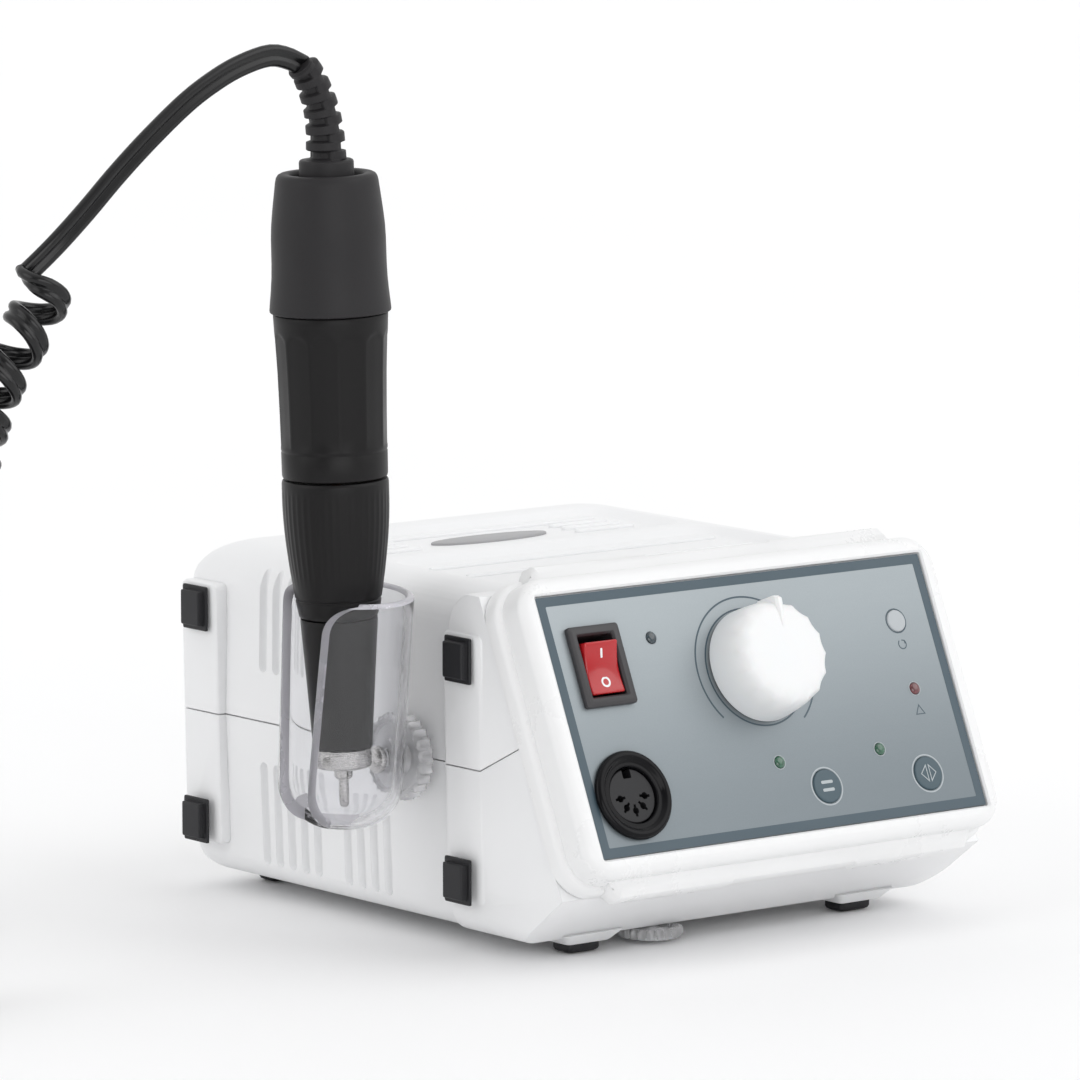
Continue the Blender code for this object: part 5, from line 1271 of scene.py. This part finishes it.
def toothed_wheel(name, radius, thick, place, body):
    """Clear thumbwheel: a fluted rim, a thinner web and a hub round the bore."""
    teeth, across = 24, 8

    def tooth(angle, size, height):
        if size < radius - 1.3:
            return 0
        share = (angle * teeth / math.tau) % 1.0
        return 0.75 * (1 - (2 * share - 1) ** 2) * ease(size, radius - 1.2, radius - 0.6)

    web = thick * 0.30
    lower = [(STUD_HOLE, 0), (4.2, 0), (4.6, web), (radius - 2.6, web), (radius - 2.1, 0.15),
             (radius - 1.1, 0), (radius - 0.45, 0.12), (radius, 0.6)]
    upper = [(size, thick - height) for size, height in reversed(lower)]
    lathe(name, place, lower + upper, "clear_wheel", body, [body], 40, teeth * across, tooth)


def rest_fixings():
    """Stud, clamp wheel and the wheel under the floor."""
    through = placed(STUD, turned_by(math.pi / 2, "Y"))
    head = -CUP_OFFSET + CUP_R - CUP_WALL - 1.4 - GAP
    lathe("rest_stud", through, [
        (0, head - 1.4), (2.6, head - 1.4), (3.1, head - 1.1), (3.3, head - 0.7), (3.3, head),
        (2.0, head), (2.0, 3.0), (4.2, 3.0), (4.2, 6.5), (0, 6.5),
    ], "steel", "case", ["holder_stud"], 32, 48)
    wheel_place = through @ Matrix.Translation((0, 0, -5.6))
    toothed_wheel("clamp_thumbwheel", 10.4, 4.0, wheel_place, "clamp_wheel")
    toothed_wheel("floor_thumbwheel", 7.8, 2.6, placed((*LOW_WHEEL, 0.8)), "low_wheel")


# ---------------------------------------------------------------- handpiece
def handpiece():
    """Outer pieces of the handpiece, from the nose up."""
    lathe("nose_band", PEN, [
        (3.9, 0.15), (4.1, 0), (5.9, 0), (6.3, 0.15), (6.6, 0.5), (6.7, 0.9), (6.7, 3.6),
        (6.55, 3.75), (6.55, 4.05), (6.7, 4.2), (6.7, 4.5), (3.9, 4.5),
    ], "steel", "handpiece", ["nose_ring"])
    lathe("nose_moulding", PEN, [
        (6.3, 4.8), (6.8, 4.8), (6.95, 4.95), (7.0, 5.4), (7.35, 11), (7.8, 17.5), (8.3, 24.5),
        (8.75, 30.5), (9.05, 34.5), (9.0, 35.2), (7.8, 35.3), (7.8, 64), (6.3, 64),
    ], "black_satin", "handpiece", ["nose_cone"])

    ribs = 44

    def ribbed(angle, radius, height):
        if radius < 8.6:
            return 0
        share = (angle * ribs / math.tau) % 1.0
        band = ease(height, 44.8, 46.2) * (1 - ease(height, 64.6, 65.8))
        return 0.11 * band * (1 - abs(2 * share - 1)) ** 0.7 if band else 0

    profile = [(8.1, 35.6), (9.1, 35.6), (9.3, 35.8), (9.5, 36.8), (9.85, 38.6), (10.0, 39.5),
               (9.82, 39.7), (9.86, 40.1), (10.13, 40.3), (10.5, 42.7), (10.9, 45.2), (11.05, 46.2),
               (11.35, 48.5), (11.65, 51), (11.93, 53.5), (12.15, 56), (12.32, 58.5), (12.43, 61),
               (12.47, 63), (12.47, 64.6), (12.46, 65.8), (12.45, 67.0), (12.35, 67.6),
               (12.1, 67.95), (8.1, 67.95)]
    lathe("twist_moulding", PEN, profile, "black_satin", "twist_sleeve", ["twist_sleeve"], 40,
          ribs * 6, ribbed)

    facets, across = 12, 14

    def faceted(angle, radius, height):
        if radius < 11:
            return 0
        share = (angle * facets / math.tau) % 1.0
        arch = 102.6 - 1.9 * (2 * share - 1) ** 2
        depth = ease(height, 75.6, 76.3) * (1 - ease(height, arch - 0.5, arch + 0.2))
        return depth * 0.34 * (1 - abs(2 * share - 1) ** 2.4)

    curve = ((68.5, 12.15), (69.3, 12.3), (75.0, 12.38), (84.0, 12.5), (93.9, 12.75), (101.0, 13.1),
             (106.7, 13.35))
    outer = [(12.0, 68.5), (12.2, 68.62), (12.3, 69.0), (12.33, 70.5), (12.36, 74.3), (12.25, 74.5),
             (12.25, 74.8), (12.38, 75.0), (12.38, 75.6), (12.39, 76.3)]
    for z in (79, 83, 87, 90, 93, 96, 98.5, 100, 100.5, 101, 101.5, 102, 102.5, 103, 103.6, 105,
              106.4):
        low = max(item for item in curve if item[0] <= z)
        high = min(item for item in curve if item[0] >= z)
        share = (z - low[0]) / max(1e-6, high[0] - low[0])
        outer.append((low[1] + (high[1] - low[1]) * share, z))
    lathe("grip_moulding", PEN, [(10.4, 68.5), *outer, (13.2, 106.6), (10.4, 106.6)],
          "black_satin", "handpiece", ["grip_sleeve"], 40, facets * across, faceted)
    lathe("cap_moulding", PEN, [
        (10.4, 106.9), (13.8, 106.9), (14.05, 107.1), (14.1, 107.5), (14.02, 108.4), (13.9, 109.6),
        (13.65, 112), (13.42, 115), (13.32, 118), (13.3, 121), (13.28, 124), (13.15, 127),
        (12.9, 129.6), (12.55, 132.5), (12.2, 135.2), (11.95, 137.2), (11.7, 138.2), (11.3, 138.8),
        (10.7, 139.1), (9.3, 139.1), (8.8, 138.9), (8.5, 138.4), (8.5, 133), (6.65, 133),
        (6.65, 130.5), (10.4, 130.5),
    ], "black_soft", "handpiece", ["rear_cap"])


def bit_and_collet():
    """Collet with its slits, and a cross-cut bit."""
    bm = bmesh.new()
    turned(bm, [(1.475, -2.8), (1.7, -2.8), (2.0, -2.5), (2.15, -2.1), (2.15, 23.5), (1.475, 23.5)],
           48)
    made = raw("collet_jaws", bm, PEN)
    for k in range(3):
        bm = bmesh.new()
        move(block(bm, 0.2, 4, -0.18, 0.18, -4, 2.5), turned_by(math.radians(120 * k + 20), "Z"))
        carve(made, bm, PEN)
    dress(made, "steel", "collet", ["collet"])

    def cross_cut(angle, radius, height):
        if height > -2.9 or radius < 0.5:
            return 0
        first = 0.5 + 0.5 * math.sin(8 * angle + height * 5.0)
        second = 0.5 + 0.5 * math.sin(8 * angle - height * 7.0)
        return 0.13 * first * second

    profile = [(0, -10.2), (0.62, -10.15), (0.92, -9.9), (1.1, -9.4)]
    profile += [(1.17, -9.2 + 0.25 * k) for k in range(25)]
    profile += [(1.17, -2.85), (1.17, 20.0), (0, 20.0)]
    lathe("cutter_bit", PEN, profile, "steel", "collet", ["bit"], 50, 64, cross_cut)


def strain_relief():
    """Collar in the cap's mouth, and a boot of stacked collars that bends towards the cord."""
    lathe("boot_collar", PEN, [
        (0, 124.6), (5.0, 124.6), (5.0, 130), (6.2, 131), (6.35, 131.2), (6.35, 141.6),
        (6.2, 142.0), (5.9, 142.2), (4.6, 142.2), (0, 142.2),
    ], "black_soft", "handpiece", ["strain_relief"], 40, 72)
    base = BOX.inverted() @ (PEN @ Vector((0, 0, 141.8)))
    y = NOSE[1]
    path = [base, base + Vector((-0.2, 0, 5.0)), Vector((-88.9, y, 192.5)),
            Vector((-89.8, y, 197.2)), Vector((-91.5, y, 201.7)), Vector((-93.8, y, 206.0)),
            Vector(LEAD_ROUTE[0]) + Vector((-0.8, 0, 0.5))]
    places = smooth_route(path, 0.22)
    segments = 6
    rings = []
    for k, spot in enumerate(places):
        ahead = (places[min(k + 1, len(places) - 1)] - places[max(k - 1, 0)]).normalized()
        side = Vector((0, 1, 0))
        other = ahead.cross(side).normalized()
        share = k / (len(places) - 1)
        full = 4.75 - 1.15 * share
        slim = full * 0.70
        ring = []
        for j in range(48):
            angle = math.tau * j / 48
            beat = (share * segments + (0.45 if math.sin(angle) > 0 else 0)) % 1.0
            raised = ease(beat, 0.02, 0.12) * (1 - ease(beat, 0.58, 0.68))
            bar = ease(abs(math.cos(angle)), 0.86, 0.95)
            lift = max(raised, bar * 0.82)
            if share > 0.985:
                lift = min(lift, 0.55)
            radius = slim + (full - slim) * lift
            ring.append(spot + side * radius * math.cos(angle) + other * radius * math.sin(angle))
        rings.append(ring)
    bm = bmesh.new()
    loft(bm, rings)
    piece("boot_ribs", bm, BOX, "black_soft", "handpiece", crease=45)


# ---------------------------------------------------------------- pieces kept as they are
def kept_nodes():
    """Working pieces that are mostly hidden: they keep their CAD mesh and get a finish."""
    plain = {
        "copper": ("transformer_winding", "rotor"), "lamination": ("transformer_core",),
        "dull_steel": ("potentiometer", "speed_shaft", "motor_can", "front_bearing",
                       "rear_bearing", "low_stud"),
        "steel": ("spindle", "plug_shell"), "board_green": ("control_board",),
        "black_gloss": ("mains_inlet", "fuse_holder", "pedal_jack"), "black_satin": ("plug_grip",),
    }
    for finish, names in plain.items():
        for name in names:
            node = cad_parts[name]
            node.data.materials.clear()
            node.data.materials.append(FINISH[finish])


# ---------------------------------------------------------------- studio
def floor_finish():
    made = Finish("studio_floor")
    cloud = made.noise(400, 2)
    made.feed("Base Color", made.between(cloud, (0.93, 0.93, 0.935), (0.95, 0.95, 0.955)))
    made.feed("Roughness", cloud.rise(0.3, 0.7, 0.62, 0.72))
    return made.material


def surroundings():
    """White all round, dimmer in front; plain white to look at."""
    world = bpy.data.worlds.new("studio")
    world.use_nodes = True
    tree = world.node_tree
    background = tree.nodes["Background"]
    coordinates = tree.nodes.new("ShaderNodeTexCoord")
    facing = tree.nodes.new("ShaderNodeVectorMath")
    facing.operation = "DOT_PRODUCT"
    facing.inputs[1].default_value = (-0.62, -0.78, 0.05)
    tree.links.new(coordinates.outputs["Generated"], facing.inputs[0])
    dim = tree.nodes.new("ShaderNodeMapRange")
    dim.interpolation_type = "SMOOTHSTEP"
    for key, value in (("From Min", 0.30), ("From Max", 0.95), ("To Min", 0.95), ("To Max", 0.28)):
        dim.inputs[key].default_value = value
    tree.links.new(facing.outputs["Value"], dim.inputs["Value"])
    path = tree.nodes.new("ShaderNodeLightPath")
    seen = tree.nodes.new("ShaderNodeMix")
    seen.inputs["B"].default_value = 1.0
    tree.links.new(path.outputs["Is Camera Ray"], seen.inputs["Factor"])
    tree.links.new(dim.outputs["Result"], seen.inputs["A"])
    background.inputs["Color"].default_value = (1, 1, 1, 1)
    tree.links.new(seen.outputs["Result"], background.inputs["Strength"])
    bpy.context.scene.world = world


def studio():
    """Pale floor, white surroundings and three broad soft lights."""
    bm = bmesh.new()
    bmesh.ops.create_grid(bm, x_segments=2, y_segments=2, size=8)
    floor = raw("studio_floor", bm, Matrix.Translation((0, 0, -0.0002)))
    floor.data.materials.append(floor_finish())
    surroundings()
    lights = (("key_light", (0.9, -1.1, 1.2), 0.60, 50), ("left_light", (-1.3, 0.15, 0.6), 0.45, 45),
              ("low_light", (-0.55, -1.3, 0.10), 1.2, 50))
    for name, place, power, spread in lights:
        data = bpy.data.lights.new(name, "SUN")
        data.angle = math.radians(spread)
        data.energy = power
        made = bpy.data.objects.new(name, data)
        made.location = place
        made.rotation_euler = (-Vector(place)).to_track_quat("-Z", "Y").to_euler()
        bpy.context.scene.collection.objects.link(made)
    bpy.context.scene.view_settings.view_transform = "Standard"


camera()
cords()
case_shell("upper_shell_moulding", True)
case_shell("lower_shell_moulding", False)
badge()
rubber_pads()
bezel()
label()
power_switch()
handpiece_socket()
speed_knob()
lamps()
buttons()
rest_cup()
rest_fixings()
handpiece()
bit_and_collet()
strain_relief()
kept_nodes()
studio()
